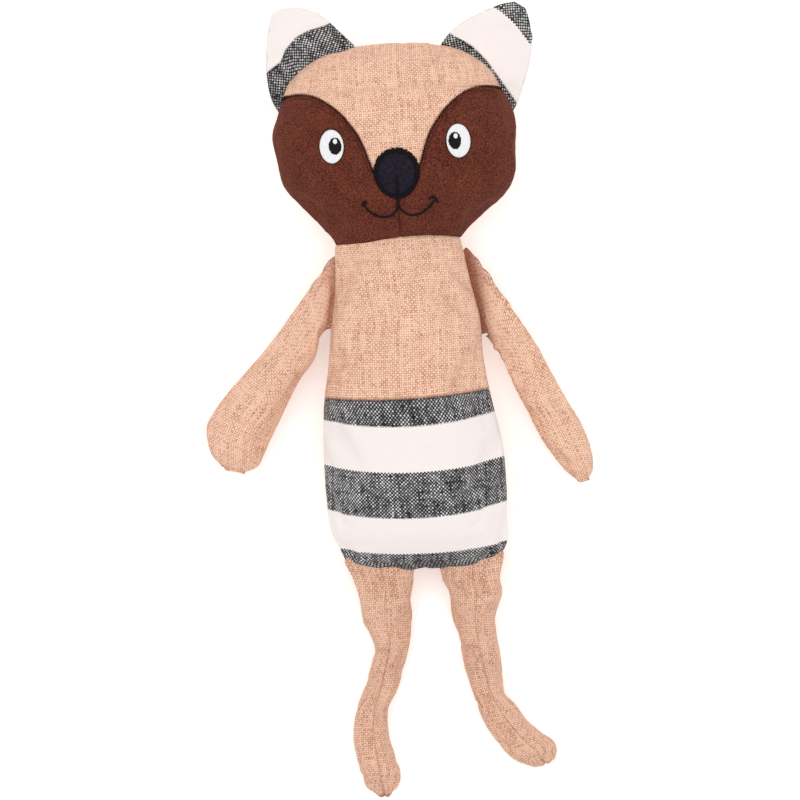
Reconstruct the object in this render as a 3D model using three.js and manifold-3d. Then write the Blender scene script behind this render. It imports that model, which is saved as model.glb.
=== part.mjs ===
// Fox dog toy: a limp stuffed animal of woven cloth, lying on its back with its face up.
// Millimetres. +Z is up, out of the face, +Y runs from the feet to the head and +X is the toy's own left.
// The origin is on the flat of the back, below the waist seam.
import * as THREE from "three";
import { mergeVertices } from "three/addons/utils/BufferGeometryUtils.js";
import Module from "manifold-3d";

const wasm = await Module();
wasm.setup();

// Cloth, seams and clearances
const CLOTH = 1.2;
const SEAM_GAP = 0.3;
const SEAM_EDGE = 1.2;
const FLAT_DEPTH = 0.5;
const SEAM_HEIGHT = 24;

// Body
const CHEST_LENGTH = 85;
const HIP_LENGTH = 88.8;
const HIP_WIDTH = 94;
const BODY_LEAN = 1;
const BODY_FRONT = 24.5;
const WAIST_RISE = 3.4;

// Neck
const NECK_WIDTH = 67;
const NECK_HALF_DEPTH = 20;
const NOD_RADIUS = 30;
const NECK_OVERLAP = 11;

// Head
const HEAD_LENGTH = 102.4;
const HEAD_WIDTH = 129.6;
const HEAD_FRONT = 34;

// Face
const FACE_PATCH = 0.8;
const EYE_SPACING = 66.3;
const EYE_WIDTH = 13;
const EYE_HEIGHT = 18;
const EYE_LEVEL = 49.7;
const PUPIL_WIDTH = 6.7;
const PUPIL_HEIGHT = 9.2;
const PUPIL_INSET = 1.7;
const HIGHLIGHT_SIZE = 2.4;
const HIGHLIGHT_RISE = 2.3;
const NOSE_WIDTH = 24.4;
const NOSE_HEIGHT = 27;
const NOSE_LEVEL = 33.7;
const MOUTH_WIDTH = 38;
const MOUTH_HEIGHT = 7.2;
const MOUTH_LEVEL = 16.3;
const MOUTH_THREAD = 1.4;

// Ears
const EAR_SIZE = 55;
const EAR_HALF_DEPTH = 2.2;
const EAR_CLEARANCE = 0.7;
const EAR_FOLD = 45;

// Arms
const SHOULDER_DROP = 8;
const RIGHT_ARM_SEAM = 34;
const LEFT_ARM_SEAM = 41;
const RIGHT_ARM_REACH = 72;
const RIGHT_ARM_DROP = 110;
const LEFT_ARM_REACH = 58.5;
const LEFT_ARM_DROP = 127;
const ARM_HALF_DEPTH = 12;

// Legs
const LEG_SEAM = 30;
const LEG_INSET = 2.4;
const LEG_SPREAD = 20;
const RIGHT_LEG_LENGTH = 120;
const LEFT_LEG_LENGTH = 109;
const LEG_HALF_DEPTH = 10.5;

// Limb roots: a thin rounded edge on the hinge line, clear of the body's seam
const ROOT_HALF_DEPTH = 1.4;
const ROOT_NOSE = 1.2;
const HINGE_OFFSET = ROOT_HALF_DEPTH + SEAM_GAP / 2 + SEAM_GAP;

// Squeaker
const SQUEAKER_RADIUS = 16;
const SQUEAKER_HEIGHT = 15;
const SQUEAKER_WALL = 1.1;
const SQUEAKER_DROP = 22;
const REED_RADIUS = 4.5;
const REED_HEIGHT = 7;

// Sizes that follow from these
const BACK_DEPTH = SEAM_HEIGHT + FLAT_DEPTH - SEAM_GAP / 2;
const NOD_LEVEL = CHEST_LENGTH + Math.sqrt(NOD_RADIUS ** 2 - NECK_HALF_DEPTH ** 2);
const OVERRUN = HEAD_LENGTH + CHEST_LENGTH + HIP_LENGTH + RIGHT_LEG_LENGTH;
const LINING = CLOTH + SEAM_GAP;

// How finely the forms are divided
const HEAD_RINGS = 16;
const BODY_RINGS = 16;
const ARM_RINGS = 10;
const LEG_RINGS = 15;
const EAR_RINGS = 7;
const WIDE_STEPS = 12;
const LIMB_STEPS = 6;
const EAR_STEPS = 6;
const ROUND_SEGMENTS = 24;
const NECK_SEGMENTS = 72;
const EDGE_SAMPLES = 256;

// Section roundness: 1 is an ellipse, more pinches the side seams
const PILLOW_POWER = 1.25;
const LIMB_POWER = 1.1;

const vec = (x, y, z) => new THREE.Vector3(x, y, z);
const mix = (from, to, share) => from + (to - from) * share;
const UP = vec(0, 0, 1);

// Closed meshes and solids

function closedGeometry(points, triangles) {
  const positions = new Float32Array(points.flatMap((p) => [p.x, p.y, p.z]));
  const geometry = new THREE.BufferGeometry();
  geometry.setAttribute("position", new THREE.BufferAttribute(positions, 3));
  let volume = 0;
  for (const [a, b, c] of triangles) {
    volume += points[a].dot(points[b].clone().cross(points[c]));
  }
  geometry.setIndex(triangles.flatMap(([a, b, c]) => (volume > 0 ? [a, b, c] : [a, c, b])));
  return geometry;
}

function solidOf(source) {
  const geometry = source.clone();
  geometry.deleteAttribute("normal");
  geometry.deleteAttribute("uv");
  const merged = mergeVertices(geometry);
  return new wasm.Manifold(
    new wasm.Mesh({
      numProp: 3,
      vertProperties: new Float32Array(merged.attributes.position.array),
      triVerts: new Uint32Array(merged.index.array),
    }),
  );
}

function geometryOf(solid) {
  const mesh = solid.getMesh();
  const positions = new Float32Array(mesh.numVert * 3);
  for (let i = 0; i < mesh.numVert; i++) {
    const start = i * mesh.numProp;
    positions.set(mesh.vertProperties.subarray(start, start + 3), i * 3);
  }
  const geometry = new THREE.BufferGeometry();
  geometry.setAttribute("position", new THREE.BufferAttribute(positions, 3));
  geometry.setIndex(new THREE.BufferAttribute(mesh.triVerts, 1));
  geometry.computeVertexNormals();
  return geometry;
}

// A thick sheet between two grids of points, closed along its four edges
function thickSheet(outer, inner) {
  const rows = outer.length;
  const columns = outer[0].length;
  const points = [...outer.flat(), ...inner.flat()];
  const at = (i, j) => i * columns + j;
  const below = (i, j) => rows * columns + at(i, j);
  const triangles = [];
  const quad = (a, b, c, d) => triangles.push([a, b, c], [a, c, d]);
  for (let i = 0; i < rows - 1; i++) {
    for (let j = 0; j < columns - 1; j++) {
      quad(at(i, j), at(i + 1, j), at(i + 1, j + 1), at(i, j + 1));
      quad(below(i, j), below(i, j + 1), below(i + 1, j + 1), below(i + 1, j));
    }
    quad(at(i, 0), below(i, 0), below(i + 1, 0), at(i + 1, 0));
    quad(at(i, columns - 1), at(i + 1, columns - 1), below(i + 1, columns - 1), below(i, columns - 1));
  }
  for (let j = 0; j < columns - 1; j++) {
    quad(at(0, j), at(0, j + 1), below(0, j + 1), below(0, j));
    quad(at(rows - 1, j), below(rows - 1, j), below(rows - 1, j + 1), at(rows - 1, j + 1));
  }
  return closedGeometry(points, triangles);
}

// A solid through rings of points, closed with a fan at each end
function loft(rings) {
  const count = rings[0].length;
  const points = rings.flat();
  const triangles = [];
  for (let i = 0; i < rings.length - 1; i++) {
    for (let j = 0; j < count; j++) {
      const next = (j + 1) % count;
      const a = i * count;
      const b = a + count;
      triangles.push([a + j, b + j, b + next], [a + j, b + next, a + next]);
    }
  }
  const last = (rings.length - 1) * count;
  const middle = (ring) => ring.reduce((sum, p) => sum.add(p), vec(0, 0, 0)).divideScalar(count);
  const first = points.push(middle(rings[0])) - 1;
  const end = points.push(middle(rings[rings.length - 1])) - 1;
  for (let j = 0; j < count; j++) {
    const next = (j + 1) % count;
    triangles.push([first, j, next], [end, last + next, last + j]);
  }
  return closedGeometry(points, triangles);
}

// Stuffed forms: rings strung between two edge curves, each ring swelling to a front and a back depth

function key(ax, ay, bx, by, z, front, back) {
  return { a: vec(ax, ay, z), b: vec(bx, by, z), depth: vec(front, back, 0) };
}

function stuffedForm(keys, power) {
  const curve = (part) => new THREE.CatmullRomCurve3(keys.map((k) => k[part]), false, "catmullrom");
  const curves = { a: curve("a"), b: curve("b"), depth: curve("depth") };
  return (t) => {
    const a = curves.a.getPoint(t);
    const b = curves.b.getPoint(t);
    const depth = curves.depth.getPoint(t);
    const side = b.clone().sub(a);
    const half = side.length() / 2;
    const centre = a.clone().add(b).divideScalar(2);
    return { centre, side: side.normalize(), half, front: depth.x, back: depth.y, power };
  };
}

function ringPoint(ring, angle, inset, shiftSide, shiftUp) {
  const rise = Math.sin(angle);
  const depth = Math.max((rise > 0 ? ring.front : ring.back) - inset, SEAM_GAP / 2);
  const across = Math.max(ring.half - inset, SEAM_GAP) * Math.cos(angle) + shiftSide;
  const up = depth * Math.sign(rise) * Math.abs(rise) ** ring.power + shiftUp;
  return ring.centre.clone().addScaledVector(ring.side, across).addScaledVector(UP, up);
}

// The four halves that a form can be sewn from: where their arc starts and which way they stand off the seam
const HALVES = {
  front: { start: 0, side: 0, up: 1 },
  back: { start: -Math.PI, side: 0, up: -1 },
  plus: { start: -Math.PI / 2, side: 1, up: 0 },
  minus: { start: Math.PI / 2, side: -1, up: 0 },
};

function halfGrid(form, rings, steps, half, inset) {
  return rings.map((t) => {
    const ring = typeof t === "number" ? form(t) : t;
    const points = [];
    for (let j = 0; j <= steps; j++) {
      const angle = half.start + (Math.PI * j) / steps;
      points.push(ringPoint(ring, angle, inset, (half.side * SEAM_GAP) / 2, (half.up * SEAM_GAP) / 2));
    }
    return points;
  });
}

function spread(count, from = 0, to = 1) {
  return Array.from({ length: count + 1 }, (_, i) => mix(from, to, i / count));
}

// One half of a form as cloth, from its outer face down to its lining
function panel(form, rings, steps, half, thickness = CLOTH, outset = 0) {
  const outer = halfGrid(form, rings, steps, half, -outset);
  const inner = halfGrid(form, rings, steps, half, thickness - outset);
  return solidOf(thickSheet(outer, inner));
}

// A whole form as one solid, drawn in from the cloth by the inset
function filling(form, rings, steps, inset) {
  const grid = rings.map((t) => {
    const ring = form(t);
    return Array.from({ length: 2 * steps }, (_, j) => ringPoint(ring, (Math.PI * j) / steps, inset, 0, 0));
  });
  return solidOf(loft(grid));
}

// The fibre inside a form: it starts and ends where the cloth leaves room for it, and lies on the lining
function stuffing(form, rings, steps) {
  const roomy = rings.filter((t) => form(t).front > 2 * LINING);
  return filling(form, roomy, steps, LINING + SEAM_GAP / 2).intersect(aboveLining);
}

function prism(shape, from = -OVERRUN, to = OVERRUN) {
  const geometry = new THREE.ExtrudeGeometry(shape, { depth: to - from, bevelEnabled: false });
  geometry.translate(0, 0, from);
  return solidOf(geometry);
}

function polygon(points) {
  return new THREE.Shape(points.map(([x, y]) => new THREE.Vector2(x, y)));
}

const aboveSurface = solidOf(
  new THREE.BoxGeometry(OVERRUN * 2, OVERRUN * 2, OVERRUN).translate(0, 0, OVERRUN / 2),
);
const aboveLining = aboveSurface.translate([0, 0, LINING]);
const lieFlat = (solid) => solid.intersect(aboveSurface);

// The body: edge and depth shares from the neck down to the bottom seam

const chestShares = [
  // up, width, front, back
  [0.94, 0.02, 0.05, 0.6],
  [0.7, 0.18, 0.32, 0.95],
  [0.47, 0.44, 0.58, 1],
  [0.24, 0.62, 0.8, 1],
  [0.0, 0.77, 0.92, 1],
];
const hipShares = [
  // down, right edge, left edge, front, back
  [0.293, 0.995, 0.985, 1, 1],
  [0.55, 0.995, 1.0, 0.97, 1],
  [0.743, 0.947, 0.99, 0.86, 0.88],
  [0.833, 0.883, 0.996, 0.67, 0.68],
  [0.901, 0.819, 0.957, 0.43, 0.43],
  [0.935, 0.755, 0.883, 0.28, 0.28],
  [0.968, 0.404, 0.59, 0.165, 0.165],
  [0.991, 0.106, 0.383, 0.085, 0.085],
];
const HIP_CORNER_ROW = 5;
const HIP_MIDDLE_ROW = 7;
const neckBackShares = [0.1, 0.4];
const END_SHARE = 1 / 3;

const hipRows = hipShares.map(([down, right, left, front, back]) => {
  const level = -HIP_LENGTH * down;
  const edges = [BODY_LEAN - (HIP_WIDTH / 2) * right, BODY_LEAN + (HIP_WIDTH / 2) * left];
  return key(edges[0], level, edges[1], level, SEAM_HEIGHT, BODY_FRONT * front, BACK_DEPTH * back);
});

function bodyRows() {
  const top = (level, width, front, back) => {
    const half = mix(NECK_WIDTH / 2, HIP_WIDTH / 2, width);
    const lean = BODY_LEAN * width;
    const frontDepth = mix(NECK_HALF_DEPTH, BODY_FRONT, front);
    const backDepth = mix(NECK_HALF_DEPTH, BACK_DEPTH, back);
    return key(lean - half, level, lean + half, level, SEAM_HEIGHT, frontDepth, backDepth);
  };
  const { a, b } = hipRows[hipRows.length - 1];
  const end = [mix(a.x, b.x, END_SHARE), mix(b.x, a.x, END_SHARE)];
  const [collarBack, neckBack] = neckBackShares;
  return [
    top(CHEST_LENGTH + NECK_OVERLAP, 0, 0, collarBack),
    top(CHEST_LENGTH, 0, 0, neckBack),
    ...chestShares.map(([up, ...row]) => top(CHEST_LENGTH * up, ...row)),
    ...hipRows,
    key(end[0], -HIP_LENGTH, end[1], -HIP_LENGTH, SEAM_HEIGHT, SEAM_EDGE, SEAM_EDGE),
  ];
}

const body = stuffedForm(bodyRows(), PILLOW_POWER);
const bodyRings = spread(BODY_RINGS);

// Where the body's side seam passes a level: +1 is the toy's left
function bodyEdge(level, side) {
  const samples = spread(EDGE_SAMPLES).map((t) => body(t));
  const ring = samples.reduce((best, r) =>
    Math.abs(r.centre.y - level) < Math.abs(best.centre.y - level) ? r : best,
  );
  return ring.centre.x + side * ring.half;
}

// The head: a round, flat pillow on the same seam plane as the body

const cheekShares = [
  // up the head, width and depth gained on the neck
  [-0.01, 0.03, 0, 0.15],
  [0.093, 0.33, 0.38, 0.7],
  [0.195, 0.66, 0.68, 1],
  [0.298, 0.87, 0.87, 1],
  [0.43, 0.96, 1, 1],
  [0.557, 1, 1, 1],
];
const crownShares = [
  // up the head, then shares of its full width and depths
  [0.654, 0.966, 0.94, 0.99],
  [0.752, 0.885, 0.84, 0.92],
  [0.85, 0.8, 0.68, 0.75],
  [0.9375, 0.633, 0.42, 0.47],
  [0.98, 0.4, 0.2, 0.22],
];
const CROWN_END_SHARE = 0.12;

function headKeys() {
  const neck = NECK_WIDTH / 2;
  const half = HEAD_WIDTH / 2;
  const level = (share) => CHEST_LENGTH + HEAD_LENGTH * share;
  const row = (y, width, front, back) => key(-width, y, width, y, SEAM_HEIGHT, front, back);
  const cheek = ([up, width, front, back]) =>
    row(
      level(up),
      mix(neck, half, width),
      mix(NECK_HALF_DEPTH, HEAD_FRONT, front),
      mix(NECK_HALF_DEPTH, BACK_DEPTH, back),
    );
  const crown = ([up, width, front, back]) =>
    row(level(up), half * width, HEAD_FRONT * front, BACK_DEPTH * back);
  return [
    row(CHEST_LENGTH - NECK_OVERLAP, neck, NECK_HALF_DEPTH, NECK_HALF_DEPTH),
    ...cheekShares.map(cheek),
    ...crownShares.map(crown),
    row(level(1), half * CROWN_END_SHARE, SEAM_EDGE, SEAM_EDGE),
  ];
}

const head = stuffedForm(headKeys(), PILLOW_POWER);
const headRings = spread(HEAD_RINGS);

// The neck: the head's round end sits in the body's hollow one, on the axis that the head rocks on

function neckBarrel(radius) {
  const barrel = new THREE.CylinderGeometry(radius, radius, OVERRUN, NECK_SEGMENTS);
  barrel.rotateZ(Math.PI / 2);
  barrel.translate(0, NOD_LEVEL, SEAM_HEIGHT);
  return solidOf(barrel);
}

const neckHollow = neckBarrel(NOD_RADIUS + SEAM_GAP);
const belowNod = solidOf(
  new THREE.BoxGeometry(OVERRUN, OVERRUN, OVERRUN).translate(0, NOD_LEVEL - OVERRUN / 2, 0),
);
const outsideNeckBall = belowNod.subtract(neckBarrel(NOD_RADIUS));
const cutBodyNeck = (solid) => solid.subtract(neckHollow);
const cutHeadNeck = (solid) => solid.subtract(outsideNeckBall);

// The seam between forehead and mask, from the nose out to the side seam, as shares of the head

const maskShares = [
  [0, 0.215],
  [0.125, 0.28],
  [0.19, 0.371],
  [0.231, 0.449],
  [0.278, 0.522],
  [0.347, 0.591],
  [0.417, 0.649],
  [0.509, 0.703],
  [0.617, 0.745],
  [0.725, 0.759],
  [0.83, 0.752],
  [1.1, 0.71],
];
const MASK_STEPS = 26;

function foreheadShape(offset) {
  const place = ([across, up]) =>
    new THREE.Vector2((HEAD_WIDTH / 2) * across, CHEST_LENGTH + HEAD_LENGTH * up);
  const curve = new THREE.SplineCurve(maskShares.map(place));
  const edge = spread(MASK_STEPS).map((t) => {
    const along = curve.getTangent(t);
    return curve.getPoint(t).add(new THREE.Vector2(along.y, -along.x).multiplyScalar(offset));
  });
  const tip = new THREE.Vector2(0, edge[0].y);
  const right = [...edge.slice(1), new THREE.Vector2(OVERRUN, edge[MASK_STEPS].y)];
  const crown = new THREE.Vector2(OVERRUN, OVERRUN);
  const half = [...right, crown];
  const mirrored = half.map((p) => new THREE.Vector2(-p.x, p.y)).reverse();
  return new THREE.Shape([tip, ...half, ...mirrored]);
}

// Appliqué patches: an outline pressed onto the face, its underside at a height over the cloth

function facePatch(shape, height, thickness) {
  const layer = panel(head, headRings, WIDE_STEPS, HALVES.front, thickness, height + thickness);
  return layer.intersect(prism(shape, SEAM_HEIGHT));
}

function ovalShape(x, y, width, height) {
  const shape = new THREE.Shape();
  shape.absellipse(x, y, width / 2, height / 2, 0, 2 * Math.PI, false, 0);
  return polygon(shape.getPoints(ROUND_SEGMENTS / 4).slice(1).map((p) => [p.x, p.y]));
}

const noseShares = [
  // across and up from the middle of the nose, as shares of its half width and half height
  [0, -1],
  [0.3, -0.96],
  [0.62, -0.72],
  [0.86, -0.3],
  [1, 0.2],
  [0.9, 0.66],
  [0.55, 0.94],
  [0, 1],
];

function noseShape() {
  const level = CHEST_LENGTH + NOSE_LEVEL;
  const place = ([across, up]) =>
    new THREE.Vector2((across * NOSE_WIDTH) / 2, level + (up * NOSE_HEIGHT) / 2);
  const side = new THREE.SplineCurve(noseShares.map(place)).getPoints(ROUND_SEGMENTS / 2);
  const mirrored = side.slice(1, -1).map((p) => new THREE.Vector2(-p.x, p.y)).reverse();
  return new THREE.Shape([...side, ...mirrored]);
}

const smileShares = [
  // across and up from the corner under the nose, as shares of half the mouth's width and of its height
  [0, 0],
  [0.16, -0.42],
  [0.38, -0.62],
  [0.62, -0.48],
  [0.84, -0.08],
  [1, 0.38],
];

// A line of thread as a flat strip of even width
function threadStrip(points, width) {
  const curve = new THREE.SplineCurve(points.map(([x, y]) => new THREE.Vector2(x, y)));
  const steps = spread(ROUND_SEGMENTS / 2);
  const edge = (side) =>
    steps.map((t) => {
      const along = curve.getTangent(t);
      return curve.getPoint(t).add(new THREE.Vector2(-along.y, along.x).multiplyScalar((side * width) / 2));
    });
  return new THREE.Shape([...edge(1), ...edge(-1).reverse()]);
}

function mouth() {
  const level = CHEST_LENGTH + MOUTH_LEVEL;
  const smile = (side) =>
    smileShares.map(([across, up]) => [(side * across * MOUTH_WIDTH) / 2, level + up * MOUTH_HEIGHT]);
  const noseFoot = CHEST_LENGTH + NOSE_LEVEL - NOSE_HEIGHT / 2 - SEAM_GAP;
  const lines = [
    smile(1),
    smile(-1),
    [
      [0, noseFoot],
      [0, level - MOUTH_THREAD / 2],
    ],
  ];
  return lines
    .map((points) => facePatch(threadStrip(points, MOUTH_THREAD), SEAM_GAP, FACE_PATCH))
    .reduce((all, line) => all.add(line));
}

// Limbs: rows of shares for the two edges, the height over the lying surface and the depth

function limbForm(root, side, spreadX, drop, halfDepth, shares) {
  const [a, b] = root;
  const origin = root.origin;
  const rest = halfDepth - FLAT_DEPTH + SEAM_GAP / 2;
  const rows = shares.map(([aOut, aDown, bOut, bDown, lift, depth]) =>
    key(
      origin.x + side * aOut * spreadX,
      origin.y - aDown * drop,
      origin.x + side * bOut * spreadX,
      origin.y - bDown * drop,
      mix(rest, SEAM_HEIGHT, lift),
      Math.max(halfDepth * depth, SEAM_EDGE),
      Math.max(halfDepth * depth, SEAM_EDGE),
    ),
  );
  const first = key(a.x, a.y, b.x, b.y, SEAM_HEIGHT, ROOT_HALF_DEPTH, ROOT_HALF_DEPTH);
  return stuffedForm([first, ...rows], LIMB_POWER);
}

// The rounded edge that a limb's root turns on: one ring beyond the hinge line, at half the depth
function rootNose(form, inward) {
  const ring = form(0);
  const depth = ROOT_HALF_DEPTH / 2;
  return { ...ring, centre: ring.centre.clone().addScaledVector(inward, ROOT_NOSE), front: depth, back: depth };
}

// A hinge line parallel to a seam, moved off it on the outward side
function hingeLine(from, to, outward) {
  const along = to.clone().sub(from).normalize();
  const off = vec(along.y, -along.x, 0);
  if (off.dot(outward) < 0) off.negate();
  const line = [from, to].map((p) => p.clone().addScaledVector(off, HINGE_OFFSET));
  line.inward = off.clone().negate();
  return line;
}

function shoulder(side, seam) {
  const top = CHEST_LENGTH - SHOULDER_DROP;
  const low = top - seam;
  const at = (level) => vec(bodyEdge(level, side), level, SEAM_HEIGHT);
  const line = hingeLine(at(top), at(low), vec(side, 0, 0));
  line.origin = line[0];
  return line;
}

// A leg hangs from the bottom seam: from near the hip corner inwards, for the length that is sewn in
function hip(edge) {
  const corner = hipRows[HIP_CORNER_ROW][edge];
  const inwards = hipRows[HIP_MIDDLE_ROW][edge].clone().sub(corner).normalize();
  const start = corner.clone().addScaledVector(inwards, LEG_INSET);
  const line = hingeLine(start, start.clone().addScaledVector(inwards, LEG_SEAM), vec(0, -1, 0));
  line.origin = line[0].clone().add(line[1]).divideScalar(2).addScaledVector(inwards, -LEG_INSET);
  return line;
}

const rightArmShares = [
  // outer edge out and down, inner edge out and down, lift, depth
  [0.11, 0.064, 0.132, 0.391, 0.86, 0.52],
  [0.306, 0.223, 0.187, 0.491, 0.58, 0.86],
  [0.539, 0.414, 0.292, 0.591, 0.28, 1],
  [0.808, 0.605, 0.472, 0.782, 0.08, 1],
  [0.951, 0.718, 0.549, 0.868, 0, 0.95],
  [0.997, 0.791, 0.597, 0.927, 0, 0.82],
  [0.958, 0.9, 0.646, 0.977, 0, 0.55],
  [0.861, 0.982, 0.736, 1, 0, 0],
];
const leftArmShares = [
  [0.162, 0.11, 0.128, 0.378, 0.92, 0.28],
  [0.414, 0.276, 0.188, 0.445, 0.7, 0.42],
  [0.581, 0.417, 0.274, 0.524, 0.4, 0.6],
  [0.706, 0.539, 0.359, 0.618, 0.15, 0.8],
  [0.826, 0.661, 0.444, 0.709, 0, 0.95],
  [0.932, 0.764, 0.521, 0.803, 0, 0.95],
  [0.997, 0.866, 0.607, 0.87, 0, 0.86],
  [0.998, 0.937, 0.709, 0.941, 0, 0.6],
  [0.957, 0.984, 0.855, 0.996, 0, 0],
];
const rightLegShares = [
  // outer edge out and down, inner edge out and down, lift, depth
  [0.63, 0.08, -0.86, 0.08, 0.62, 0.55],
  [0.63, 0.146, -0.81, 0.146, 0.28, 0.85],
  [0.55, 0.2375, -0.76, 0.2375, 0.05, 1],
  [0.34, 0.321, -0.655, 0.321, 0, 0.95],
  [0.315, 0.3625, -0.605, 0.3625, 0, 0.9],
  [0.5, 0.454, -0.365, 0.454, 0, 0.9],
  [0.685, 0.5375, -0.21, 0.5375, 0, 0.92],
  [0.84, 0.629, -0.05, 0.629, 0, 0.96],
  [0.96, 0.729, -0.06, 0.729, 0, 1],
  [0.955, 0.821, -0.235, 0.821, 0, 1],
  [0.85, 0.896, -0.315, 0.896, 0, 0.9],
  [0.665, 0.954, -0.21, 0.954, 0, 0.6],
  [0.39, 1, 0.04, 1, 0, 0],
];
const leftLegShares = [
  [-0.72, 0.08, 0.86, 0.071, 0.62, 0.55],
  [-0.57, 0.154, 0.795, 0.154, 0.28, 0.85],
  [-0.54, 0.2546, 0.64, 0.2546, 0.05, 1],
  [-0.465, 0.346, 0.64, 0.346, 0, 0.97],
  [-0.36, 0.443, 0.665, 0.443, 0, 0.93],
  [-0.21, 0.557, 0.7, 0.539, 0, 0.9],
  [-0.095, 0.649, 0.795, 0.6215, 0, 0.9],
  [0.005, 0.7225, 0.98, 0.69, 0, 0.95],
  [0.18, 0.8, 1.255, 0.727, 0, 1],
  [0.38, 0.865, 1.58, 0.773, 0, 1],
  [0.63, 0.92, 1.83, 0.823, 0, 0.97],
  [0.93, 0.961, 2.005, 0.8876, 0, 0.85],
  [1.205, 0.9885, 2.005, 0.943, 0, 0.6],
  [1.48, 0.998, 1.855, 0.979, 0, 0],
];

function limb(form, root, rings, halves) {
  const stations = [rootNose(form, root.inward), ...spread(rings)];
  const cloth = halves.map((name) => lieFlat(panel(form, stations, LIMB_STEPS, HALVES[name])));
  return [...cloth, stuffing(form, spread(rings), LIMB_STEPS)];
}

// Ears: a leaf of two cloth layers, cut at its base to the curve of the head

const rightEarShares = [
  // outer edge out and up, inner edge out and up, from a point on the head's upper corner
  [0.091, -0.4, -0.691, 0.073],
  [0.2, -0.2, -0.627, 0.265],
  [0.236, 0.049, -0.52, 0.385],
  [0.222, 0.291, -0.382, 0.533],
  [0.193, 0.476, -0.245, 0.633],
  [0.155, 0.618, -0.091, 0.676],
  [0.091, 0.664, -0.009, 0.68],
];
const leftEarShares = [
  [-0.509, 0.073, 0.145, -0.527],
  [-0.453, 0.225, 0.255, -0.364],
  [-0.329, 0.371, 0.336, -0.164],
  [-0.164, 0.473, 0.4, 0.036],
  [0.018, 0.551, 0.429, 0.255],
  [0.164, 0.596, 0.418, 0.418],
  [0.282, 0.611, 0.391, 0.536],
];
const earDepthShares = [0.75, 0.8, 0.95, 1, 0.9, 0.75, 0.5];
const EAR_ANCHOR_SHARE = 0.85;
const EAR_ANCHOR_WIDTH_SHARE = 0.8;

// The two ends of each ear's base, out and up from the same point
const rightEarFoldShares = [-0.624, 0.272, 0.157, -0.273];
const leftEarFoldShares = [-0.452, 0.236, 0.23, -0.401];
const foldStepShares = [-1, -0.75, -0.5, -0.25, 0, 0.25, 0.5, 0.75, 1];

const headEnvelope = filling(head, headRings, WIDE_STEPS, -EAR_CLEARANCE);

function earAnchor(side) {
  const x = ((side * HEAD_WIDTH) / 2) * EAR_ANCHOR_WIDTH_SHARE;
  return vec(x, CHEST_LENGTH + HEAD_LENGTH * EAR_ANCHOR_SHARE, SEAM_HEIGHT);
}

// An ear folds on the line between the two ends of its base, and its base clears the head all the way
function headSweep(side, [startOut, startUp, endOut, endUp]) {
  const start = earAnchor(side).add(vec(side * startOut, startUp, 0).multiplyScalar(EAR_SIZE));
  const end = earAnchor(side).add(vec(side * endOut, endUp, 0).multiplyScalar(EAR_SIZE));
  const axis = end.clone().sub(start).normalize();
  return foldStepShares.map((share) => {
    const turn = new THREE.Matrix4().makeRotationAxis(axis, THREE.MathUtils.degToRad(share * EAR_FOLD));
    const fromStart = new THREE.Matrix4().makeTranslation(-start.x, -start.y, -start.z);
    const toStart = new THREE.Matrix4().makeTranslation(start.x, start.y, start.z);
    return headEnvelope.transform(toStart.multiply(turn).multiply(fromStart).elements);
  });
}

function ear(side, shares, foldShares) {
  const { x, y } = earAnchor(side);
  const sweep = headSweep(side, foldShares);
  const rows = shares.map(([aOut, aUp, bOut, bUp], i) => {
    const depth = EAR_HALF_DEPTH * earDepthShares[i];
    return key(
      x + side * aOut * EAR_SIZE,
      y + aUp * EAR_SIZE,
      x + side * bOut * EAR_SIZE,
      y + bUp * EAR_SIZE,
      SEAM_HEIGHT,
      depth,
      depth,
    );
  });
  const form = stuffedForm(rows, 1);
  return ["front", "back"].map((name) => {
    const layer = panel(form, spread(EAR_RINGS), EAR_STEPS, HALVES[name], EAR_HALF_DEPTH);
    return sweep.reduce((rest, turned) => rest.subtract(turned), layer);
  });
}

// Squeaker: a hollow pressed bladder with a reed in its neck, in a pocket of the filling behind the belly

function squeaker() {
  const bottom = SEAM_HEIGHT + SEAM_GAP;
  const top = bottom + SQUEAKER_HEIGHT;
  const neck = REED_RADIUS + SEAM_GAP;
  const middle = (bottom + top) / 2;
  const arc = (radius, half, from, to) =>
    spread(ROUND_SEGMENTS / 4).map((t) => {
      const angle = mix(from, to, t);
      return new THREE.Vector2(radius * Math.cos(angle), middle + half * Math.sin(angle));
    });
  const half = SQUEAKER_HEIGHT / 2;
  const neckAngle = Math.acos(neck / SQUEAKER_RADIUS);
  const innerRadius = SQUEAKER_RADIUS - SQUEAKER_WALL;
  const innerNeckAngle = Math.acos(neck / innerRadius);
  const outer = arc(SQUEAKER_RADIUS, half, -neckAngle, Math.PI / 2);
  const inner = arc(innerRadius, half - SQUEAKER_WALL, Math.PI / 2, -innerNeckAngle);
  outer[outer.length - 1].x = 0;
  inner[0].x = 0;
  const bladder = new THREE.LatheGeometry([...outer, ...inner, outer[0].clone()], ROUND_SEGMENTS);
  const mouthLevel = outer[0].y;
  const reed = new THREE.CylinderGeometry(REED_RADIUS, REED_RADIUS, REED_HEIGHT, ROUND_SEGMENTS);
  reed.rotateX(Math.PI / 2);
  reed.translate(0, 0, mouthLevel + REED_HEIGHT / 2);
  const place = (geometry) => geometry.translate(0, -SQUEAKER_DROP, 0);
  bladder.rotateX(Math.PI / 2);
  return { bladder: place(bladder), reed: place(reed) };
}

function squeakerPocket() {
  const radius = SQUEAKER_RADIUS + SEAM_GAP;
  const pocket = new THREE.CylinderGeometry(radius, radius, OVERRUN, ROUND_SEGMENTS);
  pocket.rotateX(Math.PI / 2);
  pocket.translate(0, -SQUEAKER_DROP, SEAM_HEIGHT + OVERRUN / 2);
  return solidOf(pocket);
}

// Materials

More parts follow.
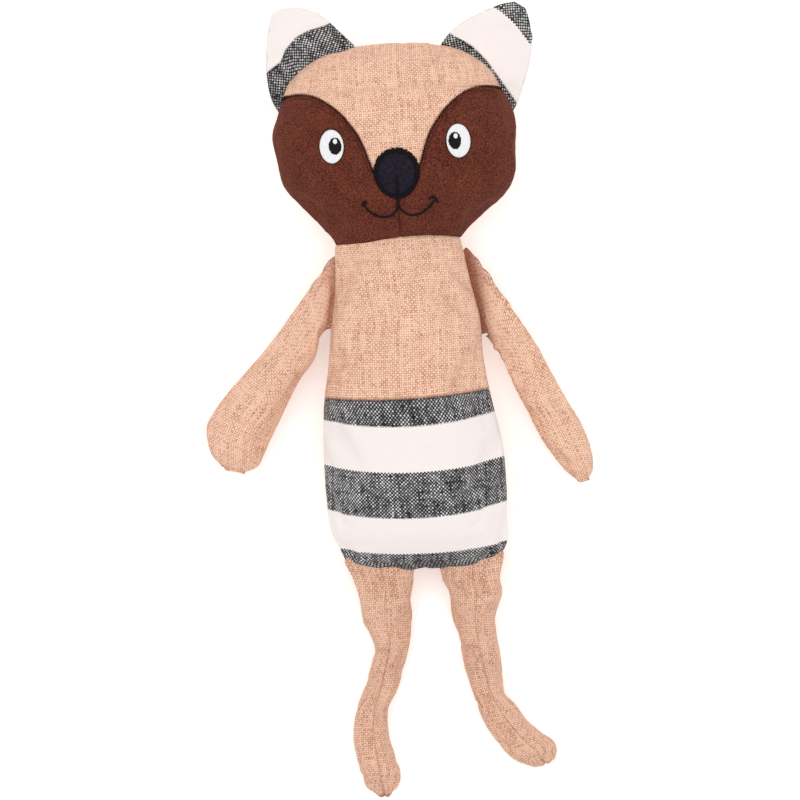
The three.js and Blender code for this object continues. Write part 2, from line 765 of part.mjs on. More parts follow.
const cloth = (color, roughness = 0.9) => new THREE.MeshStandardMaterial({ color, roughness, metalness: 0 });
const finishes = {
  tan: () => cloth(0xd9a985),
  suede: () => cloth(0x6b3424, 0.85),
  striped: () => cloth(0x8d8b8c),
  black: () => cloth(0x1c171b, 0.8),
  white: () => cloth(0xf4f1ee, 0.8),
  fibre: () => cloth(0xf2f0ea, 1),
  rubber: () => cloth(0xe9e6df, 0.5),
};

function named(name, shape, finish, pivot) {
  const geometry = shape.isBufferGeometry ? shape : geometryOf(shape);
  geometry.translate(-pivot.x, -pivot.y, -pivot.z);
  const mesh = new THREE.Mesh(geometry, finishes[finish]());
  mesh.name = name;
  return mesh;
}

function member(name, pivot, parts) {
  const group = new THREE.Group();
  group.name = name;
  group.position.copy(pivot);
  for (const [part, shape, finish] of parts) group.add(named(part, shape, finish, pivot));
  return group;
}

// The body

function bodyMember() {
  const front = cutBodyNeck(panel(body, bodyRings, WIDE_STEPS, HALVES.front));
  const back = cutBodyNeck(lieFlat(panel(body, bodyRings, WIDE_STEPS, HALVES.back)));
  const waist = (offset) => {
    const curve = new THREE.QuadraticBezierCurve(
      new THREE.Vector2(-HIP_WIDTH, WAIST_RISE + offset),
      new THREE.Vector2(0, -WAIST_RISE + offset),
      new THREE.Vector2(HIP_WIDTH, WAIST_RISE + offset),
    );
    const line = curve.getPoints(ROUND_SEGMENTS / 4).map((p) => [p.x, p.y]);
    return prism(polygon([[-HIP_WIDTH, -OVERRUN], [HIP_WIDTH, -OVERRUN], ...line.reverse()]));
  };
  const fill = cutBodyNeck(stuffing(body, bodyRings, WIDE_STEPS)).subtract(squeakerPocket());
  const { bladder, reed } = squeaker();
  return member("body", vec(0, 0, 0), [
    ["chest_panel", front.subtract(waist(SEAM_GAP / 2)), "tan"],
    ["hip_panel", front.intersect(waist(-SEAM_GAP / 2)), "striped"],
    ["torso_back_panel", back, "tan"],
    ["torso_stuffing", fill, "fibre"],
    ["squeaker_bladder", bladder, "rubber"],
    ["squeaker_reed", reed, "rubber"],
  ]);
}

// The head, on the axis that it rocks on

function headMember() {
  const front = cutHeadNeck(panel(head, headRings, WIDE_STEPS, HALVES.front));
  const back = cutHeadNeck(lieFlat(panel(head, headRings, WIDE_STEPS, HALVES.back)));
  const masks = front.subtract(prism(foreheadShape(SEAM_GAP / 2)));
  const halfSpace = (side) =>
    solidOf(
      new THREE.BoxGeometry(OVERRUN, OVERRUN * 2, OVERRUN).translate((side * (OVERRUN + SEAM_GAP)) / 2, 0, 0),
    );
  const eyeLevel = CHEST_LENGTH + EYE_LEVEL;
  const eye = (side) => {
    const x = (side * EYE_SPACING) / 2;
    const pupil = x - side * PUPIL_INSET;
    const layer = SEAM_GAP + FACE_PATCH;
    return [
      facePatch(ovalShape(x, eyeLevel, EYE_WIDTH, EYE_HEIGHT), SEAM_GAP, FACE_PATCH),
      facePatch(ovalShape(pupil, eyeLevel, PUPIL_WIDTH, PUPIL_HEIGHT), SEAM_GAP + layer, FACE_PATCH),
      facePatch(
        ovalShape(pupil, eyeLevel + HIGHLIGHT_RISE, HIGHLIGHT_SIZE, HIGHLIGHT_SIZE),
        SEAM_GAP + 2 * layer,
        FACE_PATCH,
      ),
    ];
  };
  const [rightEye, leftEye] = [eye(-1), eye(1)];
  const fill = cutHeadNeck(stuffing(head, headRings, WIDE_STEPS));
  return member("head", vec(0, NOD_LEVEL, SEAM_HEIGHT), [
    ["forehead_panel", front.intersect(prism(foreheadShape(-SEAM_GAP / 2))), "tan"],
    ["right_face_mask", masks.intersect(halfSpace(-1)), "suede"],
    ["left_face_mask", masks.intersect(halfSpace(1)), "suede"],
    ["head_back_panel", back, "tan"],
    ["head_stuffing", fill, "fibre"],
    ["nose_patch", facePatch(noseShape(), SEAM_GAP, FACE_PATCH), "black"],
    ["mouth_stitching", mouth(), "black"],
    ["right_eye_white", rightEye[0], "white"],
    ["left_eye_white", leftEye[0], "white"],
    ["right_pupil", rightEye[1], "black"],
    ["left_pupil", leftEye[1], "black"],
    ["right_eye_highlight", rightEye[2], "white"],
    ["left_eye_highlight", leftEye[2], "white"],
  ]);
}

function earMember(name, side, shares, foldShares) {
  const [front, back] = ear(side, shares, foldShares);
  return member(name, earAnchor(side), [
    [name + "_front_layer", front, "striped"],
    [name + "_back_layer", back, "striped"],
  ]);
}

function limbMember(name, form, root, rings, halves, labels) {
  const solids = limb(form, root, rings, halves);
  const parts = solids.map((solid, i) => [name + labels[i], solid, i < halves.length ? "tan" : "fibre"]);
  return member(name, root.origin, parts);
}

const armLabels = ["_front_panel", "_back_panel", "_stuffing"];
const rightShoulder = shoulder(-1, RIGHT_ARM_SEAM);
const leftShoulder = shoulder(1, LEFT_ARM_SEAM);
const rightArm = limbForm(
  rightShoulder,
  -1,
  RIGHT_ARM_REACH,
  RIGHT_ARM_DROP,
  ARM_HALF_DEPTH,
  rightArmShares,
);
const leftArm = limbForm(leftShoulder, 1, LEFT_ARM_REACH, LEFT_ARM_DROP, ARM_HALF_DEPTH, leftArmShares);
const rightHip = hip("a");
const leftHip = hip("b").reverse();
const rightLeg = limbForm(rightHip, -1, LEG_SPREAD, RIGHT_LEG_LENGTH, LEG_HALF_DEPTH, rightLegShares);
const leftLeg = limbForm(leftHip, 1, LEG_SPREAD, LEFT_LEG_LENGTH, LEG_HALF_DEPTH, leftLegShares);

const toy = new THREE.Group();
toy.name = "fox_dog_toy";
toy.add(bodyMember());
toy.add(headMember());
toy.add(earMember("right_ear", -1, rightEarShares, rightEarFoldShares));
toy.add(earMember("left_ear", 1, leftEarShares, leftEarFoldShares));
toy.add(limbMember("right_arm", rightArm, rightShoulder, ARM_RINGS, ["front", "back"], armLabels));
toy.add(limbMember("left_arm", leftArm, leftShoulder, ARM_RINGS, ["front", "back"], armLabels));
toy.add(
  limbMember("right_leg", rightLeg, rightHip, LEG_RINGS, ["minus", "plus"], [
    "_outer_panel",
    "_inner_panel",
    "_stuffing",
  ]),
);
toy.add(
  limbMember("left_leg", leftLeg, leftHip, LEG_RINGS, ["plus", "minus"], [
    "_outer_panel",
    "_inner_panel",
    "_stuffing",
  ]),
);

export default toy;
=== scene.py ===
import math

import bmesh
import bpy
import numpy as np
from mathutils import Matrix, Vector


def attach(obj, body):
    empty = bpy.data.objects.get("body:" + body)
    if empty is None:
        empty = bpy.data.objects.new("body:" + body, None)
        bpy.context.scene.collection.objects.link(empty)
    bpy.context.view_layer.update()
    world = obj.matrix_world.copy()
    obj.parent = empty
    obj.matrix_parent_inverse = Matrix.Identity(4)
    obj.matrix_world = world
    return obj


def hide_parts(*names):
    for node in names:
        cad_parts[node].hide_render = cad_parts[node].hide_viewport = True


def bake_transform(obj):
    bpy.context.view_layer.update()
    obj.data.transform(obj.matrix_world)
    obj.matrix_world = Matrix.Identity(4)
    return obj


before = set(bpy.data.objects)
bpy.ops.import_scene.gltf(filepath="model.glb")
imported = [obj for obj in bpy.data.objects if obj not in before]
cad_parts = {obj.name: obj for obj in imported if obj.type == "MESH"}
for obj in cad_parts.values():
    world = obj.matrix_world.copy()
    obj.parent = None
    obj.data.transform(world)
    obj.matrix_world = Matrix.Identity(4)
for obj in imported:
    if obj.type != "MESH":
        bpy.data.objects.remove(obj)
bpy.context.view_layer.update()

bl_info = {
    "name": "Fox dog toy",
    "version": (1, 0, 0),
    "blender": (4, 5, 0),
    "location": "3D View > Sidebar > Fox toy",
    "description": "Cuts, sews and stuffs the cloth skin of a limp fox toy over its packed frame",
    "category": "Object",
}

MM = 0.001
SEED = 11
SIDES = ((-1, "right"), (1, "left"))

# The forms, in millimetres: about the sizes that the solids are cut to, and a little lumpier
SEAM_HEIGHT = 24.0
CHEST_LENGTH = 85.0
HIP_LENGTH = 88.8
HIP_WIDTH = 94.0
BODY_LEAN = 1.0
BODY_FRONT = 24.5
BACK_DEPTH = 24.35
NECK_WIDTH = 67.0
NECK_HALF_DEPTH = 20.0
NECK_OVERLAP = 11.0
# How far the body's cloth turns in under the head's, and between which levels
NECK_TUCK = 2.6
NECK_TUCK_LEVELS = (78, 92)
HEAD_LENGTH = 102.4
HEAD_WIDTH = 129.6
HEAD_FRONT = 34.0
EYE_SPACING = 66.3
EYE_LEVEL = 134.3
NOSE_LEVEL = 118.7
MOUTH_LEVEL = 101.3
EAR_SIZE = 55.0
ARM_HALF_DEPTH = 12.0
LEG_SEAM = 30.0
LEG_INSET = 2.4
LEG_SPREAD = 20.0
LEG_HALF_DEPTH = 10.5
ROOT_DEPTH = 1.4
# How far a limb's cloth goes in past its seam, and how much thinner it is there
ROOT_TUCK = 1.6
ROOT_TUCK_SHARE = 0.7
HINGE_OFFSET = 1.85
SEAM_EDGE = 0.35
TIP_SHARE = 0.2
PILLOW_POWER = 1.25
LIMB_POWER = 1.1
EAR_POWER = 1.0

# Body: up, width, front, back, as shares, and how far it lies aside, in millimetres
CHEST_SHARES = (
    (1 + NECK_OVERLAP / CHEST_LENGTH, 0, 0, 0.1, -1.0),
    (1, 0, 0, 0.4, -1.2),
    (0.94, 0.02, 0.05, 0.6, -1.0),
    (0.7, 0.18, 0.32, 0.95, 0),
    (0.47, 0.44, 0.58, 1, 0),
    (0.24, 0.55, 0.8, 1, -1.1),
    (0.0, 0.785, 0.92, 1, -1.8),
)
# Body below the waist: down, right edge, left edge, front, back, as shares
HIP_SHARES = (
    (0.293, 1.015, 0.995, 1, 1),
    (0.55, 1.015, 1.01, 0.97, 1),
    (0.743, 0.985, 0.99, 0.86, 0.88),
    (0.833, 0.915, 0.996, 0.67, 0.68),
    (0.901, 0.86, 0.957, 0.43, 0.43),
    (0.935, 0.82, 0.9, 0.28, 0.28),
    (0.968, 0.58, 0.75, 0.165, 0.165),
    (0.991, 0.29, 0.56, 0.085, 0.085),
)
# The lines that the arms turn on, from the top down
ARM_HINGE_LINES = {-1: ((-35.8, 77.25), (-40.44, 43.25)), 1: ((35.87, 77.29), (42.36, 36.29))}
# The seam that each leg is sewn into, from the body's lower corner inwards
LEG_SEAM_LINES = {-1: ((-34.48, -83.03), (-3.98, -88.0)), 1: ((42.5, -83.03), (19.0, -88.0))}
# Head below its widest level: up, shares gained on the neck, and how far it lies aside, in millimetres
CHEEK_SHARES = (
    (-0.01, 0.0, 0, 0.15, -0.5),
    (0.093, 0.3, 0.38, 0.7, 1.0),
    (0.195, 0.655, 0.68, 1, 2.8),
    (0.298, 0.88, 0.87, 1, 1.7),
    (0.43, 0.94, 1, 1, 0.8),
    (0.557, 0.985, 1, 1, 0.4),
)
# Head above it: up, shares of its full width and depths, and how far it lies aside, in millimetres
CROWN_SHARES = (
    (0.654, 0.952, 0.94, 0.99, 0.9),
    (0.752, 0.885, 0.84, 0.92, 0.2),
    (0.85, 0.8, 0.68, 0.75, 0),
    (0.9335, 0.61, 0.42, 0.47, 0.4),
    (0.974, 0.37, 0.2, 0.22, 0.8),
)
CROWN_TOP = 0.992
CROWN_TOP_SHARE = 0.12
# Seam between forehead and mask: across and up, as shares of the head
MASK_SHARES = (
    (0, 0.215),
    (0.125, 0.28),
    (0.19, 0.371),
    (0.231, 0.449),
    (0.278, 0.522),
    (0.347, 0.59),
    (0.417, 0.644),
    (0.509, 0.694),
    (0.617, 0.734),
    (0.725, 0.747),
    (0.83, 0.742),
    (0.9, 0.734),
)
# How much lower the face's features lie for each millimetre to the +X side
FACE_TILT = 0.012
# Limbs: outer edge out and down, inner edge out and down, lift, depth
RIGHT_ARM_SHARES = (
    (0.081, 0.064, 0.132, 0.391, 0.86, 0.52),
    (0.281, 0.223, 0.187, 0.491, 0.58, 0.86),
    (0.522, 0.414, 0.304, 0.591, 0.28, 1),
    (0.808, 0.605, 0.468, 0.782, 0.08, 1),
    (0.951, 0.718, 0.54, 0.868, 0, 0.95),
    (0.997, 0.791, 0.588, 0.93, 0, 0.82),
    (0.968, 0.905, 0.64, 0.982, 0, 0.55),
    (0.885, 0.985, 0.73, 1.008, 0, 0),
)
LEFT_ARM_SHARES = (
    (0.162, 0.11, 0.128, 0.378, 0.92, 0.28),
    (0.385, 0.276, 0.21, 0.43, 0.7, 0.42),
    (0.566, 0.417, 0.294, 0.524, 0.4, 0.6),
    (0.69, 0.539, 0.377, 0.618, 0.15, 0.8),
    (0.82, 0.661, 0.464, 0.709, 0, 0.95),
    (0.932, 0.764, 0.553, 0.803, 0, 0.95),
    (0.997, 0.866, 0.64, 0.87, 0, 0.86),
    (0.998, 0.937, 0.748, 0.941, 0, 0.6),
    (0.957, 0.984, 0.855, 0.996, 0, 0),
)
RIGHT_LEG_SHARES = (
    (0.68, 0.08, -0.82, 0.08, 0.62, 0.55),
    (0.617, 0.146, -0.74, 0.146, 0.28, 0.85),
    (0.575, 0.2375, -0.69, 0.2375, 0.05, 1),
    (0.37, 0.345, -0.585, 0.345, 0, 0.93),
    (0.508, 0.454, -0.37, 0.454, 0, 0.9),
    (0.662, 0.5375, -0.222, 0.5375, 0, 0.92),
    (0.862, 0.629, -0.04, 0.629, 0, 0.96),
    (0.96, 0.729, -0.035, 0.729, 0, 1),
    (0.948, 0.821, -0.14, 0.821, 0, 1),
    (0.9, 0.896, -0.2, 0.896, 0, 0.9),
    (0.75, 0.954, -0.115, 0.954, 0, 0.6),
    (0.45, 1.004, 0.08, 1.004, 0, 0),
)
LEFT_LEG_SHARES = (
    (-0.82, 0.08, 0.768, 0.071, 0.62, 0.55),
    (-0.675, 0.154, 0.765, 0.154, 0.28, 0.85),
    (-0.62, 0.2546, 0.575, 0.2546, 0.05, 1),
    (-0.52, 0.346, 0.515, 0.346, 0, 0.97),
    (-0.405, 0.443, 0.55, 0.443, 0, 0.93),
    (-0.262, 0.557, 0.605, 0.539, 0, 0.9),
    (-0.115, 0.649, 0.678, 0.6215, 0, 0.9),
    (-0.01, 0.7225, 0.975, 0.69, 0, 0.95),
    (0.175, 0.8, 1.25, 0.76, 0, 1),
    (0.41, 0.865, 1.48, 0.8, 0, 1),
    (0.64, 0.923, 1.7, 0.841, 0, 0.97),
    (0.94, 0.968, 1.88, 0.89, 0, 0.85),
    (1.23, 0.993, 1.87, 0.946, 0, 0.6),
    (1.49, 0.995, 1.73, 0.982, 0, 0),
)
# The limbs: how far out and down their shares reach, the shares, and how far each end of the root is let out
ARMS = {-1: (72, 110, RIGHT_ARM_SHARES, (0.0, 4.0)), 1: (58.5, 127, LEFT_ARM_SHARES, (0.0, 4.0))}
LEGS = {
    -1: (LEG_SPREAD, 120, RIGHT_LEG_SHARES, (6.4, 0.0)),
    1: (LEG_SPREAD, 109, LEFT_LEG_SHARES, (0.0, 4.4)),
}
# Ears: outer edge out and up, inner edge out and up, from a point on the head's upper corner
EAR_SHARES = {
    -1: (
        (0.091, -0.4, -0.691, 0.073),
        (0.2, -0.2, -0.627, 0.265),
        (0.236, 0.049, -0.52, 0.385),
        (0.222, 0.291, -0.382, 0.533),
        (0.193, 0.476, -0.245, 0.633),
        (0.155, 0.618, -0.091, 0.676),
        (0.091, 0.664, -0.009, 0.68),
    ),
    1: (
        (-0.509, 0.073, 0.145, -0.527),
        (-0.453, 0.225, 0.255, -0.364),
        (-0.329, 0.371, 0.336, -0.164),
        (-0.164, 0.473, 0.4, 0.036),
        (0.018, 0.551, 0.429, 0.255),
        (0.164, 0.596, 0.418, 0.418),
        (0.282, 0.611, 0.391, 0.536),
    ),
}
EAR_ANCHOR_SHARES = (0.8, 0.85)
EAR_DEPTHS = (1.2, 1.6, 2.0, 2.1, 1.9, 1.5, 0.35)
# The two ends of each ear's base, out and up from the same point
EAR_FOLDS = {-1: (-0.624, 0.272, 0.157, -0.273), 1: (-0.452, 0.236, 0.23, -0.401)}
# Where each ear's stripes change: along the base, and distance off it
EAR_BANDS = {
    -1: (
        (7, 17.5, 41),
        (17.3, 17.7, 41.2),
        (22.3, 20.8, 44.3),
        (30.7, 22.5, 46),
        (37.5, 21.5, 45),
        (47.3, 17.7, 41),
    ),
    1: (
        (-0.5, 7.6, 32.6),
        (8.4, 9.4, 33.0),
        (13.7, 10.2, 33.8),
        (24, 9.2, 33.2),
        (36.6, 6.0, 30.2),
        (51, 2.0, 26),
    ),
}
# Corner of the mouth out to its end: across and up from under the nose
SMILES = {
    -1: ((0, 0), (-2.9, -3.6), (-7.9, -5.0), (-12.6, -3.6), (-16.2, -0.7), (-18.6, 2.7)),
    1: ((0, 0), (2.9, -3.2), (6.9, -4.7), (11.8, -3.8), (16.1, -0.8), (18.3, 1.5), (19.6, 2.9)),
}
# How far the cloth's grain dips at the middle of the body: at a level, by how much
GRAIN_DIP = ((-88.8, 0), (-84, 1.1), (-76, 2.9), (-55, 5.6), (-8, 5.6), (3.3, 3.0), (60, 0.5), (95, 0))
# How far the stripes drop from the middle to the +X side, and where that fades in and out again
GRAIN_TILT = 0.5
GRAIN_TILT_LEVELS = ((-88, -76), (-10, 3))
# Level on the body's side to place along the striped cloth, and how far below its zero a band begins
STRIPE_MAP = ((-95, -97), (-88, -90.5), (-76, -78.5), (-55, -55), (10, 10))
STRIPE_START = 8.0
WAIST_LEVEL = 3.3
# Small notch in the middle of the hem: where, how deep, its width to either side, and where it dies out
HEM_NOTCH = (0.4, 1.7, 2.0, 4.5)
HEM_NOTCH_LEVEL = -80
# How close cloth may come to the floor, and its lining
FLOOR_GAP = 0.05
LINING_GAP = 0.1


def linear(code):
    """A colour written as an sRGB hex value, as linear red, green and blue."""
    parts = [int(code[i : i + 2], 16) / 255 for i in (1, 3, 5)]
    return tuple(c / 12.92 if c <= 0.04045 else ((c + 0.055) / 1.055) ** 2.4 for c in parts)


def colour_property(label, text, code):
    return bpy.props.FloatVectorProperty(
        name=label, description=text, subtype="COLOR", size=3, min=0, max=1, default=linear(code)
    )


def length_property(label, text, default):
    return bpy.props.FloatProperty(name=label, description=text, unit="LENGTH", min=0, default=default * MM)


def share_property(label, text, default):
    return bpy.props.FloatProperty(name=label, description=text, min=0, default=default)


class FoxToyColours(bpy.types.PropertyGroup):
    """Colours of the toy's cloths and threads."""

    tan_light: colour_property("Tan thread", "Pale threads of the woven tan cloth", "#ffdabb")
    tan_blush: colour_property("Tan blush", "Pinker threads of the woven tan cloth", "#ffcdb6")
    tan_dark: colour_property("Tan shade", "Gaps between the tan threads", "#ae6c4b")
    suede: colour_property("Suede", "Brown brushed cloth of the mask", "#7b3f30")
    suede_dark: colour_property("Suede shade", "Brown where the nap lies away", "#3e1810")
    stripe_white: colour_property("Pale stripe", "Pale bands of the striped cotton", "#fcf3f0")
    stripe_black: colour_property("Dark yarn", "Black yarn of the dark bands", "#0c0c0e")
    stripe_grey: colour_property("Fleck", "Pale yarn that shows in the dark bands", "#f0eeee")
    felt: colour_property("Nose felt", "Blue-black felt of the nose", "#2c2733")
    thread: colour_property("Dark thread", "Black embroidery thread", "#151014")
    eye: colour_property("Eye thread", "White embroidery of the eyes", "#fbfbfc")
    brown_thread: colour_property("Brown thread", "Thread along the edge of the mask", "#3a1a12")
    squeaker: colour_property("Squeaker", "Milky plastic of the squeaker", "#e9e6df")


class FoxToySizes(bpy.types.PropertyGroup):
    """Sizes of cloth, stitches and stage."""

    cloth: length_property("Cloth", "Thickness of the cloth", 0.9)
    weave: length_property("Weave", "Distance from thread to thread in the tan cloth", 1.15)
    stripe: length_property("Stripe", "Width of one band of the striped cotton", 23.5)
    chambray: length_property("Fine weave", "Distance from thread to thread in the striped cotton", 0.92)
    seam: length_property("Seam", "How deep a seam draws the cloth in", 0.7)
    stitch: length_property("Stitch", "Length of one stitch along the mask", 1.2)
    thread: length_property("Thread", "Thickness of the sewing thread", 0.45)
    slack: share_property("Slack", "Share of spare cloth that wrinkles", 0.035)
    pressure: share_property("Stuffing", "Push of the stuffing on the cloth", 3.0)
    sun: share_property("Lamp", "Strength of the soft lamps together", 1.5)
    sky: share_property("Sky", "Strength of the light from all round", 0.57)


# Arithmetic of the forms


def spline(rows, t):
    """Points on the smooth curve through rows, at shares t of its length."""
    rows = np.asarray(rows, float)
    t = np.asarray(t, float)
    ends = np.vstack([2 * rows[0] - rows[1], rows, 2 * rows[-1] - rows[-2]])
    place = np.clip(t, 0, 1) * (len(rows) - 1)
    first = np.minimum(place.astype(int), len(rows) - 2)
    w = (place - first)[..., None]
    p0, p1, p2, p3 = (ends[first + k] for k in range(4))
    bend = 2 * p0 - 5 * p1 + 4 * p2 - p3 + w * (3 * (p1 - p2) + p3 - p0)
    return p1 + 0.5 * w * (p2 - p0 + w * bend)


def mix(a, b, share):
    return a + (b - a) * share


def smooth(x, low, high):
    t = np.clip((np.asarray(x, float) - low) / (high - low), 0, 1)
    return t * t * (3 - 2 * t)


def table(rows, x):
    rows = np.asarray(rows, float)
    return np.interp(x, rows[:, 0], rows[:, 1])


def round_angles(steps):
    return np.arange(steps) * 2 * math.pi / steps


def cubic(u):
    """The four weights of a cubic blend at u, from 0 to 1."""
    return (
        0.5 * (-u + 2 * u**2 - u**3),
        0.5 * (2 - 5 * u**2 + 3 * u**3),
        0.5 * (u + 4 * u**2 - 3 * u**3),
        0.5 * (-(u**2) + u**3),
    )


def ripple(s, wave, seed):
    """An uneven wave along s, between about -1 and 1: five sines of unlike lengths."""
    rng = np.random.default_rng(seed)
    total = 0
    for _ in range(5):
        length = wave * rng.uniform(0.7, 1.6)
        total = total + np.sin(2 * math.pi * np.asarray(s) / length + rng.uniform(0, 2 * math.pi))
    return total / 3


def grid_normals(points):
    along = np.gradient(points, axis=0)
    across = np.gradient(points, axis=1)
    normal = np.cross(along, across)
    return normal / np.maximum(np.linalg.norm(normal, axis=-1, keepdims=True), 1e-9)


def run(points, axis):
    """Length run along each line of a grid of points."""
    steps = np.linalg.norm(np.diff(points, axis=axis), axis=-1)
    zero = np.zeros_like(np.take(steps, [0], axis=axis))
    return np.concatenate([zero, np.cumsum(steps, axis=axis)], axis=axis)


# Samples along a form for finding a level, tries at finding a point on it, and the reach that tells its slope
LEVEL_SAMPLES = 801
PLACE_TRIES = 6
FEEL = 0.4


class Form:
    """A stuffed bag: rows of two edge points, their height, and a front and back depth, in millimetres."""

    def __init__(self, rows, power, seam_turn=0.0):
        self.rows = np.array(rows, float)
        self.power = power
        self.seam_turn = seam_turn
        self.span = (0.0, 1.0)
        self.shift = None
        self.notch = None
        self.samples = np.linspace(0, 1, LEVEL_SAMPLES)
        self.levels = self.centre(self.samples)[:, 1]

    def base(self, t, angle):
        row = spline(self.rows, t)
        a = row[..., (0, 1, 4)]
        b = row[..., (2, 3, 4)]
        rise = np.sin(angle)
        depth = np.where(rise > 0, row[..., 5], row[..., 6])
        point = (a + b) / 2 + (b - a) / 2 * np.cos(angle)[..., None]
        point[..., 2] += depth * np.sign(rise) * np.abs(rise) ** self.power
        return point

    def at_level(self, y):
        if self.levels[0] < self.levels[-1]:
            return np.interp(y, self.levels, self.samples)
        return np.interp(y, self.levels[::-1], self.samples[::-1])

    def off_seam(self, angle):
        """0 at the two seams down the form, 1 half way between them."""
        return np.abs(np.sin(angle - self.seam_turn))

    def centre(self, t):
        row = spline(self.rows, t)
        return (row[..., (0, 1, 4)] + row[..., (2, 3, 4)]) / 2

    def half(self, t):
        """Half the form's width, and how far its middle lies aside."""
        row = spline(self.rows, t)
        return (row[..., 2] - row[..., 0]) / 2, (row[..., 2] + row[..., 0]) / 2

    def moved(self, t, angle):
        """How far the stuffing has moved the cloth there."""
        if self.shift is None:
            return 0
        rows, columns = self.shift.shape[:2]
        x = np.clip((t - self.span[0]) / (self.span[1] - self.span[0]), 0, 1) * (rows - 1)
        y = np.mod(angle / (2 * math.pi), 1) * columns
        i = np.minimum(x.astype(int), rows - 2)
        j = y.astype(int)
        across = cubic(x - i)
        round_it = cubic(y - j)
        total = 0
        for k in range(4):
            for m in range(4):
                weight = (across[k] * round_it[m])[..., None]
                total = total + weight * self.shift[np.clip(i + k - 1, 0, rows - 1), (j + m - 1) % columns]
        return total

    def surface(self, t, angle):
        t, angle = np.broadcast_arrays(np.asarray(t, float), np.asarray(angle, float))
        point = self.base(t, angle) + self.moved(t, angle)
        if self.notch is not None:
            place, depth, *widths = self.notch
            away = point[..., 0] - place
            share = np.exp(-((away / np.where(away < 0, *widths)) ** 2))
            point[..., 1] += depth * share * (1 - smooth(point[..., 1], -HIP_LENGTH, HEM_NOTCH_LEVEL))
        point[..., 2] = np.maximum(point[..., 2], FLOOR_GAP)
        return point

    def on_front(self, x, y, lift=0.0, exact=True):
        """The point of the front above x and y, raised by lift.

        If not exact, x and y are places on the cloth as it was cut, before it was stuffed.
        """
        x, y = np.broadcast_arrays(np.asarray(x, float), np.asarray(y, float))

        def place(px, py):
            t = self.at_level(py)
            half, middle = self.half(t)
            return self.surface(t, np.arccos(np.clip((px - middle) / half, -1, 1)))

        point = place(x, y)
        if exact:
            goal = np.stack([x, y], -1)
            guess = goal.copy()
            for _ in range(PLACE_TRIES):
                guess = guess + goal - point[..., :2]
                point = place(guess[..., 0], guess[..., 1])
            x, y = guess[..., 0], guess[..., 1]
        across = place(x + FEEL, y) - place(x - FEEL, y)
        normal = np.cross(across, place(x, y + FEEL) - place(x, y - FEEL))
        normal /= np.linalg.norm(normal, axis=-1, keepdims=True)
        return point + normal * np.asarray(lift, float)[..., None]


def body_rows():
    """Rows down the body, from inside the neck to the hem."""
    rows = []
    for up, width, front, back, aside in CHEST_SHARES:
        level = CHEST_LENGTH * up
        tuck = NECK_TUCK * float(smooth(level, *NECK_TUCK_LEVELS))
        half = mix(NECK_WIDTH / 2, HIP_WIDTH / 2, width) - tuck
        lean = BODY_LEAN * width + aside
        deep_front = mix(NECK_HALF_DEPTH, BODY_FRONT, front) - tuck
        deep_back = mix(NECK_HALF_DEPTH, BACK_DEPTH, back) - tuck
        rows.append((lean - half, level, lean + half, level, SEAM_HEIGHT, deep_front, deep_back))
    for down, right, left, front, back in HIP_SHARES:
        level = -HIP_LENGTH * down
        ends = (BODY_LEAN - HIP_WIDTH / 2 * right, BODY_LEAN + HIP_WIDTH / 2 * left)
        rows.append((ends[0], level, ends[1], level, SEAM_HEIGHT, BODY_FRONT * front, BACK_DEPTH * back))
    a, b = rows[-1][0], rows[-1][2]
    hem = (mix(a, b, 1 / 3), -HIP_LENGTH, mix(b, a, 1 / 3), -HIP_LENGTH)
    rows.append((*hem, SEAM_HEIGHT, SEAM_EDGE, SEAM_EDGE))
    return rows


def head_rows():
    """Rows up the head, from inside the neck to the crown."""
    neck, half = NECK_WIDTH / 2, HEAD_WIDTH / 2
    start = CHEST_LENGTH - NECK_OVERLAP
    rows = [(-neck, start, neck, start, SEAM_HEIGHT, NECK_HALF_DEPTH, NECK_HALF_DEPTH)]
    for up, width, front, back, aside in CHEEK_SHARES:
        level, wide = CHEST_LENGTH + HEAD_LENGTH * up, mix(neck, half, width)
        depths = (mix(NECK_HALF_DEPTH, HEAD_FRONT, front), mix(NECK_HALF_DEPTH, BACK_DEPTH, back))
        rows.append((aside - wide, level, aside + wide, level, SEAM_HEIGHT, *depths))
    for up, width, front, back, aside in CROWN_SHARES:
        level, wide = CHEST_LENGTH + HEAD_LENGTH * up, half * width
        depths = (HEAD_FRONT * front, BACK_DEPTH * back)
        rows.append((aside - wide, level, aside + wide, level, SEAM_HEIGHT, *depths))
    top = CHEST_LENGTH + HEAD_LENGTH * CROWN_TOP
    wide = half * CROWN_TOP_SHARE
    rows.append((-wide, top, wide, top, SEAM_HEIGHT, SEAM_EDGE, SEAM_EDGE))
    return rows


def hinge_line(start, end, outward):
    """The line a limb turns on: parallel to its seam, a little way off it."""
    along = (end - start) / np.linalg.norm(end - start)
    off = np.array([along[1], -along[0]])
    if off @ outward < 0:
        off = -off
    return start + off * HINGE_OFFSET, end + off * HINGE_OFFSET, off


